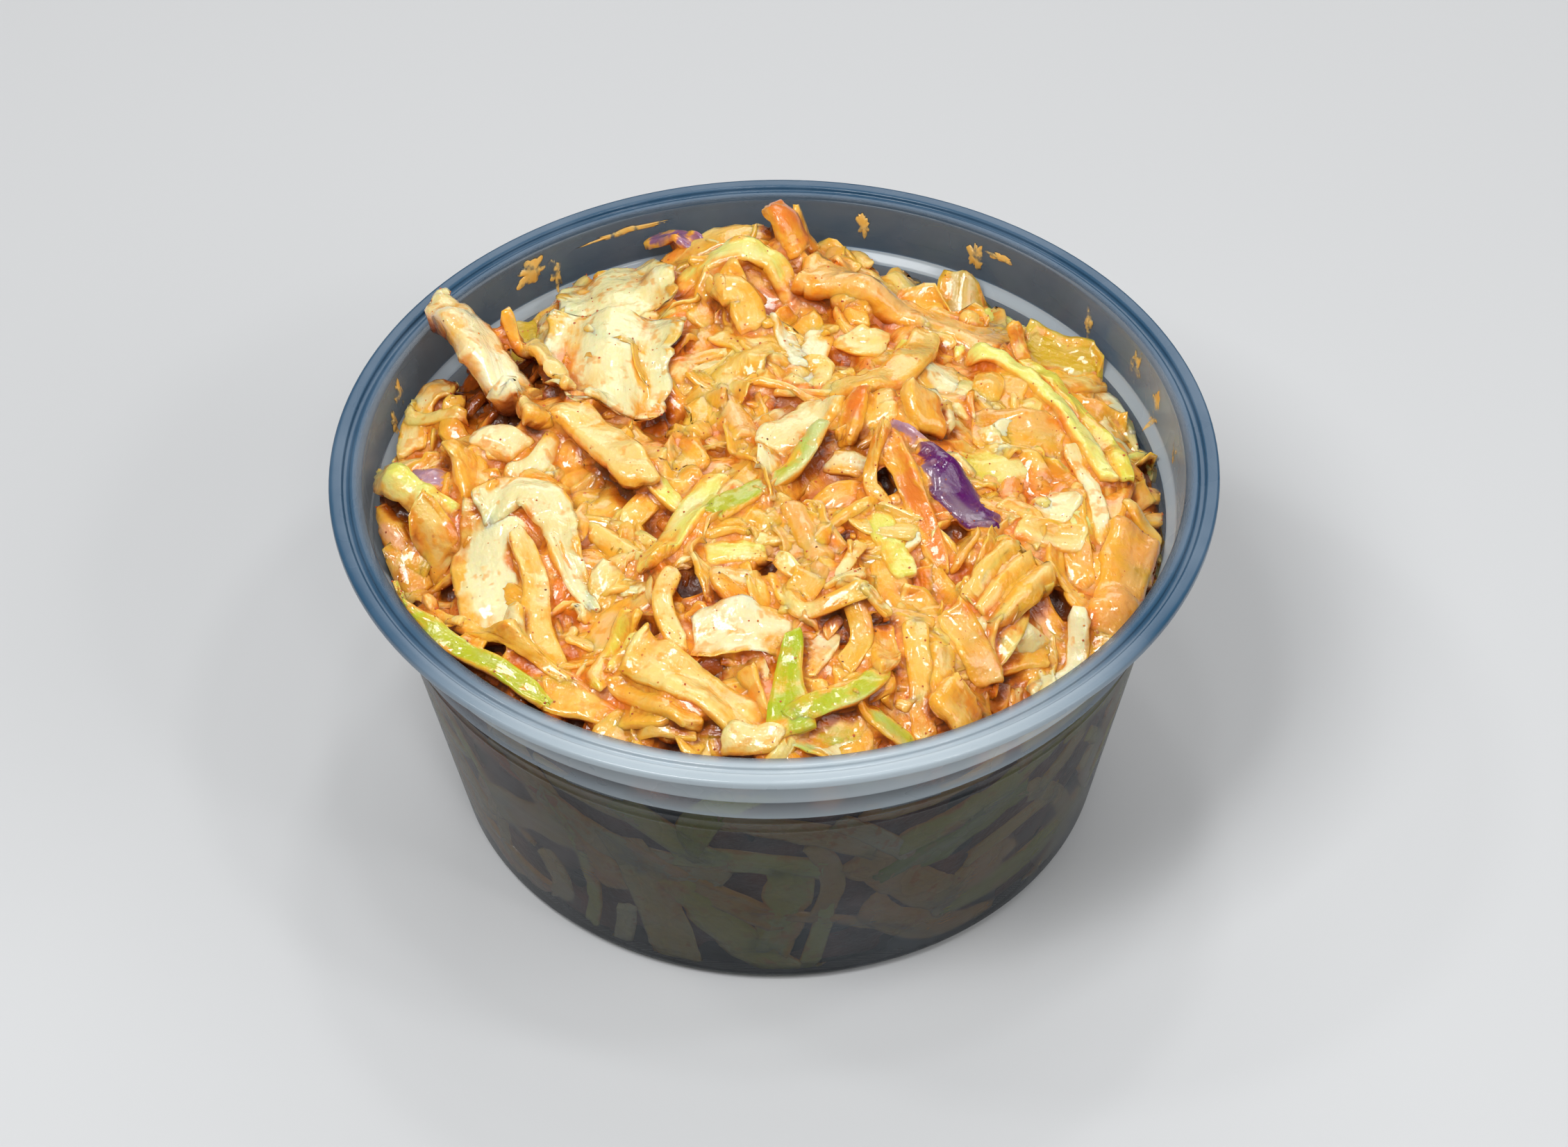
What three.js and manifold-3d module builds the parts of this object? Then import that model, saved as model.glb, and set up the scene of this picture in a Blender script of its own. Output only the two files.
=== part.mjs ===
// A round clear tub, open at the top, filled and heaped with coleslaw.
// Millimetres, +Z up, standing on z = 0 with the origin under its middle.
// -Y is the front and +X the right. There are two solids: the tub, and the
// slaw in it, which is a core with shreds and leaf pieces fused on.

import * as THREE from "three";
import { mergeVertices } from "three/addons/utils/BufferGeometryUtils.js";
import Module from "manifold-3d";

const wasm = await Module();
wasm.setup();

// ---------------------------------------------------------------- tub sizes

const RIM_RADIUS = 58.5;
const TUB_HEIGHT = 53.3;
const RIM_DEPTH = 1.3;
// A shallow groove runs round the top of the rim, between a lip on its outer
// edge and one at the mouth.
const RIM_GROOVE = 0.6;
const RIM_LIP = 1.8;
const RIM_ROUND = 0.5;
const RIM_UNDER_ROUND = 0.3;
const RIM_CREST = 0.2;
const MOUTH_ROUND = 0.4;
const MOUTH_RADIUS = 54;
const BAND_RADIUS = 52.6;
const BAND_TOP_RADIUS = 55.6;
const BAND_BOTTOM = 40.5;
const NECK_RADIUS = 51.7;
const LEDGE_HEIGHT = 45.4;
const LEDGE_OUTER_RADIUS = 53.2;
const LEDGE_INNER_RADIUS = 51.8;
const LEDGE_SLOPE = 0.6;
const WALL = 0.8;
const BASE_RADIUS = 44;
const BASE_CORNER = 1.2;
const FLOOR = 1;
const TUB_SIDES = 56;

const LUG_COUNT = 8;
const LUG_WIDTH_DEG = 9;
const LUG_FIRST_DEG = -71.5;
const LUG_DROP = 0.5;
const LUG_INSET = 0.15;
const LUG_SEGMENTS = 3;

// --------------------------------------------------------------- slaw sizes

// The slaw keeps this far from the tub, and its core this far inside the
// pieces that lie against the wall.
const CLEARANCE = 0.3;
const CORE_INSET = 1.1;
const CORE_SIDES = 24;
const CORE_RINGS = 6;
// The core lies this far under the mean top of the heap, and its side is
// upright from CORE_CORNER above the floor to CORE_BRIM under the band.
const CORE_DEPTH = 3;
const CORE_CORNER = 3;
const CORE_BRIM = 2;

const HEAP_MIDDLE = 56;
const HEAP_EDGE = 44;
const HEAP_FULLNESS = 0.8;

// Where the heap swells above its plain dome or falls short of it.
const SWELLS = [
  { x: -4, y: 44, height: 7, spread: 11 },
  { x: -24, y: 42, height: 2.5, spread: 8 },
  { x: -24, y: 24, height: 2.5, spread: 11 },
  { x: -50, y: 0, height: 4, spread: 13 },
  { x: -36, y: -38, height: 2.5, spread: 10 },
  { x: 0, y: -48, height: 2, spread: 12 },
  { x: 30, y: 38, height: -3.5, spread: 9 },
  { x: 52, y: 10, height: -2, spread: 9 },
];

// Open holes between the shreds, which go down this far.
const HOLE_DEPTH = 6;
const HOLES = [
  { x: -15, y: 9, radius: 4 },
  { x: -43, y: 10, radius: 3 },
  { x: -44, y: -14, radius: 4.5 },
  { x: 11.5, y: 22, radius: 2.5 },
  { x: 26, y: 22, radius: 2.5 },
  { x: 22, y: -22, radius: 2.5 },
  { x: 29, y: -37, radius: 5.5 },
  { x: 41, y: -18, radius: 2.5 },
  { x: 36, y: -29, radius: 3 },
  { x: 1, y: 31, radius: 3 },
];

const FIELD_CELL = 1.5;
const LAYING_STEP = 2;
const FEWEST_STEPS = 4;
// A piece's direction is taken between two points this far apart along it.
const LOOK_AHEAD = 0.01;
// A piece has its full width from this share of its length inwards.
const CUT_LENGTH = 0.125;
// How deep a stiff piece may press into what lies under it, and how deep its
// lowest point always bites in.
const PRESS = 0.9;
const BITE = 0.8;
// How often a piece's rests are evened out, and a stiff, broad leaf's.
const EASING_PASSES = 4;
const STIFF_PASSES = 6;
const STIFF_WIDTH = 9;

// One facet of a piece is about this long, and of a flat one this wide.
const FACET_LENGTH = 8;
const FACET_WIDTH = 9;
// Corners closer together than this are joined in the finished heap.
const WELD = 0.05;

// Shreds and leaves placed one by one, the lowest first. A path runs through
// [x, y, lift], with the lift above what the piece lies on. Width and
// thickness are the piece's own, folds are pleats along it with their height,
// and tip is how wide its ends are cut.
const PLACED = [
  // left side, by the wall
  { name: "carrot by the wall", width: 4.5, thick: 2.2, path: [[-53, 0, 1], [-47, -12, -1]] },
  { name: "red cabbage block", width: 6.5, thick: 4.5, tip: 0.9,
    path: [[-49, -2, 0], [-42.5, -3, 0]] },
  { name: "left wall shred", width: 3, thick: 1.6, path: [[-50, 19, 2], [-52, 8, 1.5]] },
  { name: "left loop", width: 5, thick: 1.6, path: [[-43, 21, 2], [-47.5, 18, 2.5], [-49, 9, 0]] },
  { name: "orange bow", width: 2.8, thick: 1.6,
    path: [[-42, 17, 3], [-43, 12, 2], [-39, 8, 1], [-34, 6, 0]] },
  { name: "left upright", width: 6, thick: 3, path: [[-42, 8, 1], [-40, 0, 0.5], [-38, -6, 0]] },
  { name: "cream arm", width: 3.6, thick: 1.8,
    path: [[-54, 5, 2], [-50, -2, 2], [-45, -5.5, 1.5], [-38.5, -8.5, 0]] },
  // back
  { name: "back arch, outer", width: 4.5, thick: 1.6,
    path: [[-17, 40, 0], [-10, 44, 2], [-2, 44, 2], [4, 39, 1]] },
  { name: "back arch, inner", width: 4, thick: 1.4,
    path: [[-16, 33, 0], [-9, 38, 2], [-1, 38, 2], [4, 33, 0]] },
  { name: "back shred, left", width: 4, thick: 1.6, path: [[-10, 27, 0], [-8, 36, 1]] },
  { name: "back shred, middle", width: 5, thick: 2, path: [[8, 40, 0], [11, 31, 0.5]] },
  { name: "carrot stub", width: 4.6, thick: 3, path: [[0, 47.5, 6], [4, 41, 1]] },
  { name: "back ridge shred", width: 4.5, thick: 2, path: [[-6, 36, 0.5], [-4, 26, 0]] },
  { name: "knuckle", width: 5, thick: 3, path: [[-8, 31, 1], [-4, 30, 1.5], [-3, 25, 0]] },
  { name: "thin back shred", width: 3, thick: 1.5, path: [[-2, 26, 0], [3, 33, 1]] },
  { name: "curled leaf, small", width: 6, thick: 1, folds: 1, foldHeight: 1,
    path: [[17, 46, 1], [19.5, 41.5, 0]] },
  { name: "curled leaf", width: 8, thick: 1, folds: 1, foldHeight: 1.5,
    path: [[27, 43.5, 6], [26.5, 38, 0]] },
  { name: "long peach shred", width: 7, thick: 3, endWidth: 9,
    path: [[4, 38, 1], [17, 33, 1], [32.5, 27, 1]] },
  { name: "red wisp", width: 2.6, thick: 1.2, path: [[-17, 49, 3], [-10, 44, 0]] },
  // right side
  { name: "tan shred", width: 4, thick: 2, path: [[30, 21, 0], [28, 12, 0]] },
  { name: "cream wedge", width: 7, thick: 2, endWidth: 3, path: [[36, 18, 0], [33, 9, 0]] },
  { name: "cream flake", width: 6, thick: 1.2, folds: 1, foldHeight: 0.7,
    path: [[20, 19, 0.5], [25, 14, 0.5]] },
  { name: "right wisp", width: 2.2, thick: 1.4, path: [[46, -3, 0.5], [51, -8, 0.5]] },
  { name: "right leaf", width: 7, thick: 1.2, folds: 1, foldHeight: 1,
    path: [[46, 19.5, 0], [51, 13, 0]] },
  { name: "right carrot", width: 3, thick: 2, path: [[45, 11, 0], [48, 2, 0]] },
  { name: "right peach leaf", width: 7.5, thick: 1.6, path: [[26, 7, 0], [39, 7, 0]] },
  { name: "right cream shred", width: 2.8, thick: 1.8,
    path: [[39, 5, 0.5], [42, -3, 0.5], [43, -12, 0]] },
  { name: "right strands", width: 4, thick: 1.8, path: [[39, -2, 0], [39.5, -18, 0]] },
  { name: "white flake", width: 6, thick: 1.2, path: [[34, -5, 0.5], [40, -7, 0.5]] },
  { name: "yellow edged leaf", width: 8, thick: 1.3, folds: 1, foldHeight: 0.7,
    path: [[24, -1, 0], [36, 1, 0.5]] },
  { name: "right wall shred", width: 7.5, thick: 3, path: [[47.5, -8, 0.5], [42.5, -27, 1]] },
  { name: "folded green flap", width: 10, thick: 1.1, roll: 55,
    path: [[33.5, 28, 0.5], [46.5, 25.5, 0.5]] },
  { name: "green pair", width: 4.2, thick: 1.8, folds: 1, foldHeight: 0.8,
    path: [[26.5, 23.5, 1.5], [34, 19.5, 1.5], [41, 11, 1.5], [45.5, -1, 1]] },
  // middle
  { name: "peach heap leaf", width: 11, thick: 1.6, folds: 2, foldHeight: 0.8,
    path: [[-7, 15, 0], [-4, 3, 0]] },
  { name: "middle shred, left", width: 6, thick: 2, path: [[-18, 12, 0], [-10, -3, 0]] },
  { name: "middle shred, second", width: 5, thick: 1.8, path: [[-23, 11, 0], [-14, -1, 0]] },
  { name: "thin yellow shred", width: 1.8, thick: 1.4, path: [[-25, 9, 0.5], [-18, 0, 0.5]] },
  { name: "white shred", width: 4.4, thick: 1.8, path: [[7, 27, 1], [3.5, 15, 0]] },
  { name: "white shred, short", width: 3.2, thick: 1.6, path: [[1, 27, 0.5], [4, 18, 0]] },
  { name: "cream block", width: 6, thick: 4, tip: 0.8, path: [[11, 5, 0], [17, 6, 0]] },
  { name: "cream block, right", width: 5, thick: 4, tip: 0.8, path: [[19, 8, 0], [20, 2, 0]] },
  { name: "middle carrot", width: 3.6, thick: 2.2, path: [[12.5, 14, 0], [9.5, 0, 0]] },
  { name: "carrot end", width: 3, thick: 2, path: [[12, 22, 0.5], [13, 16, 0]] },
  { name: "big cream shred", width: 7, thick: 2.4, path: [[8, 9, 0], [-1, 0, 0]] },
  { name: "cream bow", width: 5, thick: 2,
    path: [[7.5, 13, 1], [14, 13, 1.5], [19, 19, 1.5], [21, 27, 1]] },
  { name: "crumpled cream leaf", width: 7, thick: 1.4, folds: 2, foldHeight: 0.9,
    path: [[20, -1, 0], [25, -6, 0]] },
  { name: "yellow shred, right", width: 4.2, thick: 1.8,
    path: [[12, -5, 0.5], [14, -14, 0.5], [17, -22, 0]] },
  { name: "red cabbage leaf", width: 7, thick: 1.6, startWidth: 3,
    path: [[17, 0, 0.5], [27.5, -12, 1]] },
  { name: "carrot on red leaf", width: 3.8, thick: 2.2, endWidth: 1.8,
    path: [[14.5, -2, 2], [21.5, -18, 0.5]] },
  // left middle
  { name: "light green patch", width: 5, thick: 1.4, path: [[-21, 0, 0], [-15, -6, 0]] },
  { name: "peach to green shred", width: 4.2, thick: 2,
    path: [[-28, -3, 0.5], [-20, -7, 0.5], [-12.5, -12, 0]] },
  { name: "ridged pink leaf", width: 8, thick: 1.5, folds: 2, foldHeight: 1.1,
    path: [[-24, -11, 0], [-16, -19, 0]] },
  { name: "white block", width: 6.5, thick: 4.5, tip: 0.9,
    path: [[-34, 3, 0.5], [-27, 5, 1], [-22, 0, 0.5], [-16, -8, 0]] },
  { name: "ruffled white leaf", width: 14, thick: 1.6, folds: 3, foldHeight: 1.9,
    path: [[-34.5, -6, 2.5], [-34, -18, 2], [-28.5, -32, 0.5]] },
  { name: "ruffled leaf, tail", width: 5, thick: 1.3,
    path: [[-30, -8, 2], [-29, -15, 1.5], [-25, -26, 0]] },
  { name: "frilled scrap", width: 5, thick: 1.2, folds: 1, foldHeight: 0.8,
    path: [[-47, -7, 1], [-42, -12, 0.5]] },
  // front left
  { name: "cream scrap", width: 2.6, thick: 1.6, path: [[-36.5, -34.5, 1], [-33, -33, 1]] },
  { name: "white scrap", width: 3, thick: 1.4, path: [[-19, -43, 0], [-10, -46, 0]] },
  { name: "thin strand, outer", width: 1.8, thick: 1.4,
    path: [[-48, -19, 1], [-41, -25.5, 1], [-32, -32, 0.5], [-23, -37.5, 0]] },
  { name: "thin strand, inner", width: 1.8, thick: 1.4,
    path: [[-46, -21, 1], [-38, -28.5, 1], [-30, -34, 0.5], [-24, -38.5, 0]] },
  { name: "front left leaf", width: 5, thick: 1.5,
    path: [[-30, -37.5, 0], [-21, -40.5, 0.5], [-13, -43.5, 0]] },
  { name: "long green shred", width: 3.4, thick: 1.8,
    path: [[-52.5, -21, 4], [-44, -27.5, 2], [-35, -33.5, 1], [-26.5, -38, 0.5]] },
  // front
  { name: "pale green block", width: 5.5, thick: 3, tip: 0.9,
    path: [[-10, -17, 0.5], [-1, -17, 0.5]] },
  { name: "cream cube", width: 6, thick: 4, tip: 0.9, path: [[-9, -23, 0], [-2, -25, 0]] },
  { name: "peach parallel, upper", width: 3, thick: 2, path: [[-8, -24, 1], [0, -32, 0]] },
  { name: "peach parallel, lower", width: 3, thick: 2, path: [[-11, -27, 0.5], [-4, -34, 0]] },
  { name: "white patch", width: 7, thick: 1.6,
    path: [[-11, -32, 0.5], [0, -31, 0.5], [7, -35, 0]] },
  { name: "standing loop", width: 3, thick: 2.2,
    path: [[-13, -21, 1], [-14.5, -27, 1.5], [-12, -34, 0]] },
  { name: "yellow fork", width: 3.8, thick: 1.8,
    path: [[-18, -26, 0.5], [-20, -31, 1], [-23.5, -38, 0.5]] },
  { name: "yellow fork, side", width: 2, thick: 1.4, path: [[-17, -31, 0.5], [-21.5, -36, 0.5]] },
  { name: "front peach shred", width: 4, thick: 2, path: [[-21, -36, 0], [-10, -46, 0.5]] },
  { name: "broad front shred", width: 7, thick: 2.2,
    path: [[-19, -33.5, 1], [-11, -39.5, 1.5], [-2, -46, 0.5]] },
  { name: "pale yellow shred", width: 4.8, thick: 2,
    path: [[-7, -4, 1.5], [-11, -12, 1.5], [-17, -21, 1]] },
  { name: "bright green shred", width: 2.8, thick: 1.8, endWidth: 4.2,
    path: [[6.5, 3, 1.5], [3, -3.5, 1.5], [-3, -8, 1], [-8.5, -13, 0]] },
  { name: "middle peach leaf", width: 9, thick: 1.8, folds: 1, foldHeight: 0.8,
    path: [[2, -9, 0.5], [6, -20, 0]] },
  { name: "thin arc, outer", width: 1.8, thick: 1.3,
    path: [[2, -31, 0.5], [6, -27, 1], [12, -26, 0.5]] },
  { name: "thin arc, inner", width: 1.8, thick: 1.3,
    path: [[6, -32, 0.5], [8, -29, 1], [12, -28, 0.5]] },
  { name: "cream leaf corner", width: 8, thick: 1.6, path: [[15, -25, 0.5], [23, -30, 0.5]] },
  { name: "front upright shred", width: 3.8, thick: 2, path: [[17.5, -28, 0.5], [18.5, -45, 0.5]] },
  { name: "front upright, right", width: 3.4, thick: 2, path: [[21, -32, 0], [21, -43, 0.5]] },
  { name: "peach block, front", width: 6, thick: 2.4, path: [[24, -37, 0], [21, -44, 0.5]] },
  { name: "cream curl", width: 4.2, thick: 2, path: [[3, -41, 0.5], [8, -41, 1], [15, -37, 0.5]] },
  { name: "green leaf, upright arm", width: 4.2, thick: 1.6, startWidth: 2.6,
    path: [[2, -33.5, 1.5], [0.5, -46, 0.5]] },
  { name: "green leaf, low arm", width: 6, thick: 1.5, folds: 1, foldHeight: 0.8,
    path: [[0, -46, 1], [8, -45, 1], [17, -42, 0.5]] },
  { name: "rim block", width: 3.6, thick: 2, path: [[-7, -47, -1], [1, -47.5, -1]] },
  { name: "peach strands", width: 4, thick: 1.8, path: [[13, -29, 0], [14, -38, 0]] },
  // front right
  { name: "strand under the fan", width: 4, thick: 1.8, path: [[26, -32, 0], [35, -28, 0.5]] },
  { name: "fanned leaf", width: 11, thick: 2, folds: 4, foldHeight: 1.4, startWidth: 9,
    path: [[25.5, -27, 1], [29.5, -22, 2.5], [33, -17, 1.5]] },
  { name: "fan foot", width: 5, thick: 1.8, path: [[22, -26, 0], [27, -35, 0]] },
  { name: "curled strand", width: 2.6, thick: 1.6,
    path: [[29, -8, 0], [34, -10, 1], [33, -14, 0]] },
  { name: "ruffled wall shred", width: 3.5, thick: 1.3, folds: 1, foldHeight: 0.8,
    path: [[38.5, -24, 0.5], [38, -30, 0.5], [32, -34.5, 0.5]] },
  { name: "front wall shred", width: 2.4, thick: 1.4, path: [[26, -40.5, 1], [33, -36, 1]] },
  // back left, on top of the rest
  { name: "yellow green bit", width: 4.2, thick: 1.6, path: [[-34, 36, 2.5], [-34, 25, 1]] },
  { name: "bent cream shred", width: 4, thick: 1.6, path: [[-28, 36, 2.5], [-26, 25, 2]] },
  { name: "big pale leaf", width: 16, thick: 1.5, folds: 1, foldHeight: 0.8,
    path: [[-22, 44, 3], [-21.5, 37, 3.5], [-20, 29, 3]] },
  { name: "big folded leaf", width: 19, thick: 1.8, folds: 1, foldHeight: 1,
    path: [[-22.5, 25, 4.5], [-22.5, 18, 4], [-21, 9.5, 2]] },
  { name: "tall rib", width: 7, startWidth: 4.6, thick: 5, tip: 0.7,
    path: [[-47.5, 30, 11], [-42, 21, 6], [-33, 9, -2]] },
];

// Shreds strewn by rule: below the placed ones, and against the tub's wall.
// The strewn ones keep their middles this far inside the mouth and out of the
// holes. They bow sideways and lift one end by up to so much.
const STREWN = { count: 16, seed: 9011, length: [16, 30], width: [3.5, 7], thick: [1.6, 2.6] };
const STREWN_INSET = 5;
const STREWN_BOW = 0.8;
const STREWN_LIFT = 1.5;
const OPEN_HOLE = 1;
const WALL_SHREDS = { count: 18, seed: 417, length: [16, 30], width: [3.5, 7.5], thick: 1.8 };
const WALL_MARGIN = 4;
const GOLDEN_ANGLE = THREE.MathUtils.degToRad(137.508);

// ---------------------------------------------------------- solids and mesh

function solidFrom(geometry) {
  const bare = geometry.clone();
  bare.deleteAttribute("normal");
  bare.deleteAttribute("uv");
  const welded = mergeVertices(bare, 1e-4);
  return solidFromArrays(welded.attributes.position.array, welded.index.array);
}

function solidFromArrays(positions, corners) {
  const vertProperties = new Float32Array(positions);
  const triVerts = new Uint32Array(corners);
  return new wasm.Manifold(new wasm.Mesh({ numProp: 3, vertProperties, triVerts }));
}

function geometryFrom(solid) {
  const { vertProperties, triVerts } = solid.getMesh();
  const geometry = new THREE.BufferGeometry();
  geometry.setAttribute("position", new THREE.BufferAttribute(vertProperties, 3));
  geometry.setIndex(new THREE.BufferAttribute(triVerts, 1));
  geometry.computeVertexNormals();
  return geometry;
}

// A lathe turned so that its axis is Z.
function turned(profile, sides) {
  return new THREE.LatheGeometry(profile, sides).rotateX(Math.PI / 2);
}

// ---------------------------------------------------------------------- tub

// The inside of the wall, from the mouth down to the floor.
function innerProfile() {
  const corner = 2 * BASE_CORNER;
  return [
    [MOUTH_RADIUS, TUB_HEIGHT - RIM_DEPTH],
    [LEDGE_OUTER_RADIUS, LEDGE_HEIGHT + LEDGE_SLOPE],
    [LEDGE_INNER_RADIUS, LEDGE_HEIGHT - LEDGE_SLOPE],
    [NECK_RADIUS - WALL, BAND_BOTTOM],
    [BASE_RADIUS - WALL + corner * 0.2, FLOOR + corner],
    [BASE_RADIUS - WALL - corner * 0.2, FLOOR + corner * 0.3],
    [BASE_RADIUS - WALL - corner, FLOOR],
  ];
}

function outerProfile() {
  const underRim = TUB_HEIGHT - RIM_DEPTH;
  return [
    [0, 0],
    [BASE_RADIUS - BASE_CORNER, 0],
    [BASE_RADIUS - BASE_CORNER * 0.3, BASE_CORNER * 0.3],
    [BASE_RADIUS, BASE_CORNER],
    [NECK_RADIUS, BAND_BOTTOM],
    [BAND_RADIUS, BAND_BOTTOM],
    [BAND_TOP_RADIUS, underRim],
    [RIM_RADIUS - RIM_UNDER_ROUND, underRim],
    [RIM_RADIUS, underRim + RIM_UNDER_ROUND],
    [RIM_RADIUS, TUB_HEIGHT - RIM_ROUND],
    [RIM_RADIUS - RIM_ROUND, TUB_HEIGHT],
    [RIM_RADIUS - (2 * RIM_LIP) / 3, TUB_HEIGHT - RIM_CREST],
    [RIM_RADIUS - RIM_LIP, TUB_HEIGHT - RIM_GROOVE],
    [MOUTH_RADIUS + RIM_LIP, TUB_HEIGHT - RIM_GROOVE],
    [MOUTH_RADIUS + (2 * RIM_LIP) / 3, TUB_HEIGHT - RIM_CREST],
    [MOUTH_RADIUS + MOUTH_ROUND, TUB_HEIGHT - RIM_ROUND],
  ];
}

// One of the small blocks under the band on which stacked tubs rest.
function lug(middleDeg) {
  const from = THREE.MathUtils.degToRad(middleDeg - LUG_WIDTH_DEG / 2);
  const to = THREE.MathUtils.degToRad(middleDeg + LUG_WIDTH_DEG / 2);
  const outline = new THREE.Shape();
  outline.absarc(0, 0, BAND_RADIUS - LUG_INSET, from, to, false);
  outline.absarc(0, 0, NECK_RADIUS - WALL / 2, to, from, true);
  const block = new THREE.ExtrudeGeometry(outline, {
    depth: 2 * LUG_DROP,
    bevelEnabled: false,
    curveSegments: LUG_SEGMENTS,
  });
  return block.translate(0, 0, BAND_BOTTOM - LUG_DROP);
}

function tub() {
  const profile = [...outerProfile(), ...innerProfile(), [0, FLOOR]];
  let solid = solidFrom(turned(profile.map(([r, z]) => new THREE.Vector2(r, z)), TUB_SIDES));
  for (let i = 0; i < LUG_COUNT; i++) {
    solid = solid.add(solidFrom(lug(LUG_FIRST_DEG + (i * 360) / LUG_COUNT)));
  }
  return geometryFrom(solid);
}

// ------------------------------------------------------- where the slaw goes

// The largest radius that the slaw may have at height z. It passes the ledge
// in a straight slope, and above the rim it may lean out over it.
function roomAt(z) {
  const wall = innerProfile().filter(([radius]) => radius !== LEDGE_OUTER_RADIUS);
  const overRim = z - TUB_HEIGHT - CLEARANCE;
  if (overRim > 0) return Math.min(RIM_RADIUS, wall[0][0] - CLEARANCE + overRim);
  if (z >= wall[0][1]) return wall[0][0] - CLEARANCE;
  for (let i = 1; i < wall.length; i++) {
    const [upperRadius, upperZ] = wall[i - 1];
    const [lowerRadius, lowerZ] = wall[i];
    if (z >= lowerZ) {
      const share = (z - lowerZ) / (upperZ - lowerZ);
      return THREE.MathUtils.lerp(lowerRadius, upperRadius, share) - CLEARANCE;
    }
  }
  return wall[wall.length - 1][0] - CLEARANCE;
}

// Moves a point in from the wall and up from the floor where it would touch.
function keepInside(point) {
  point.z = Math.max(point.z, FLOOR + CLEARANCE);
  const radius = Math.hypot(point.x, point.y);
  const room = roomAt(point.z);
  if (radius > room) {
    point.x *= room / radius;
    point.y *= room / radius;
  }
  return point;
}

// The mean top of the heap.
function heapHeight(x, y) {
  const share = Math.min(1, Math.hypot(x, y) / MOUTH_RADIUS);
  let height = HEAP_EDGE + (HEAP_MIDDLE - HEAP_EDGE) * (1 - share * share) ** HEAP_FULLNESS;
  for (const swell of SWELLS) {
    const distance = Math.hypot(x - swell.x, y - swell.y) / swell.spread;
    height += swell.height * Math.exp(-distance * distance);
  }
  return height;
}

function holeDepth(x, y) {
  let depth = 0;
  for (const hole of HOLES) {
    const distance = Math.hypot(x - hole.x, y - hole.y) / hole.radius;
    depth = Math.max(depth, HOLE_DEPTH * Math.exp(-distance * distance));
  }
  return depth;
}

function coreHeight(x, y) {
  return heapHeight(x, y) - CORE_DEPTH - holeDepth(x, y);
}

// ------------------------------------------------------------------- pieces

// A seeded random number from 0 to 1 (mulberry32).
function seeded(seed) {
  let state = seed;
  return () => {
    state = (state + 0x6d2b79f5) | 0;
    let mixed = Math.imul(state ^ (state >>> 15), 1 | state);
    mixed = (mixed + Math.imul(mixed ^ (mixed >>> 7), 61 | mixed)) ^ mixed;
    return ((mixed ^ (mixed >>> 14)) >>> 0) / 4294967296;
  };
}

function between(random, [low, high]) {
  return low + (high - low) * random();
}

// The height of what has been laid so far, on a square grid.
class Field {
  constructor() {
    this.half = Math.ceil(MOUTH_RADIUS / FIELD_CELL);
    this.side = 2 * this.half + 1;
    this.heights = new Float64Array(this.side * this.side);
    for (let row = 0; row < this.side; row++) {
      for (let column = 0; column < this.side; column++) {
        const x = (column - this.half) * FIELD_CELL;
        const y = (row - this.half) * FIELD_CELL;
        this.heights[row * this.side + column] = coreHeight(x, y);
      }
    }
  }

  cell(x, y) {
    const limit = (value) => Math.min(this.side - 1, Math.max(0, value));
    const column = limit(Math.floor(x / FIELD_CELL + 0.5) + this.half);
    const row = limit(Math.floor(y / FIELD_CELL + 0.5) + this.half);
    return row * this.side + column;
  }

  at(x, y) {
    return this.heights[this.cell(x, y)];
  }

  raise(x, y, z) {
    const cell = this.cell(x, y);
    this.heights[cell] = Math.max(this.heights[cell], z);
  }
}

// A point at t, from 0 to 1, on a smooth line through the path's points.
function alongPath(path, t) {
  const last = path.length - 1;
  const index = Math.min(last - 1, Math.floor(t * last));
  const u = t * last - index;
  const before = path[Math.max(0, index - 1)];
  const from = path[index];
  const to = path[index + 1];
  const after = path[Math.min(last, index + 2)];
  return from.map((value, axis) => {
    const leave = (to[axis] - before[axis]) / 2;
    const arrive = (after[axis] - from[axis]) / 2;
    const gap = to[axis] - value;
    return value + u * (leave + u * (3 * gap - 2 * leave - arrive + u * (leave + arrive - 2 * gap)));
  });
}

function pathLength(path) {
  let length = 0;
  for (let i = 1; i < path.length; i++) {
    length += Math.hypot(path[i][0] - path[i - 1][0], path[i][1] - path[i - 1][1]);
  }
  return length;
}

// Half the piece's width at t: it tapers from one end to the other and is
// cut a little narrower at both.
function halfWidth(piece, t) {
  const { width, startWidth = width, endWidth = width, tip = 0.6 } = piece;
  const middle = 1 - Math.abs(2 * t - 1);
  const ends = t < 0.5 ? startWidth : endWidth;
  const wide = THREE.MathUtils.lerp(ends, width, middle);
  const cut = Math.min(1, middle / (2 * CUT_LENGTH));
  return (wide / 2) * THREE.MathUtils.lerp(tip, 1, cut);
}

// The piece's middle surface as rows of points across it, laid on the field.
function layPiece(piece, field) {
  const rows = planRows(piece);
  const tilt = Math.sin(THREE.MathUtils.degToRad(piece.roll ?? 0));
  const below = rows.map((row) => row.map((point) => field.at(point.x, point.y)));
  const rests = eased(below, piece.width > STIFF_WIDTH ? STIFF_PASSES : EASING_PASSES);
  let gap = Infinity;
  eachPoint(rows, (point, i, j) => {
    const across = (2 * j) / (rows[i].length - 1) - 1;
    const rise = (tilt * across * piece.width) / 2;
    point.z = rests[i][j] + point.lift + piece.thick / 2 + fold(piece, across) + rise;
    gap = Math.min(gap, point.z - piece.thick / 2 - below[i][j]);
  });
  const drop = Math.max(0, gap + BITE);
  eachPoint(rows, (point) => {
    point.z -= drop;
    keepInside(point);
    field.raise(point.x, point.y, point.z + piece.thick / 2);
  });
  return rows;
}

function eachPoint(rows, act) {
  rows.forEach((row, i) => row.forEach((point, j) => act(point, i, j)));
}

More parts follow.
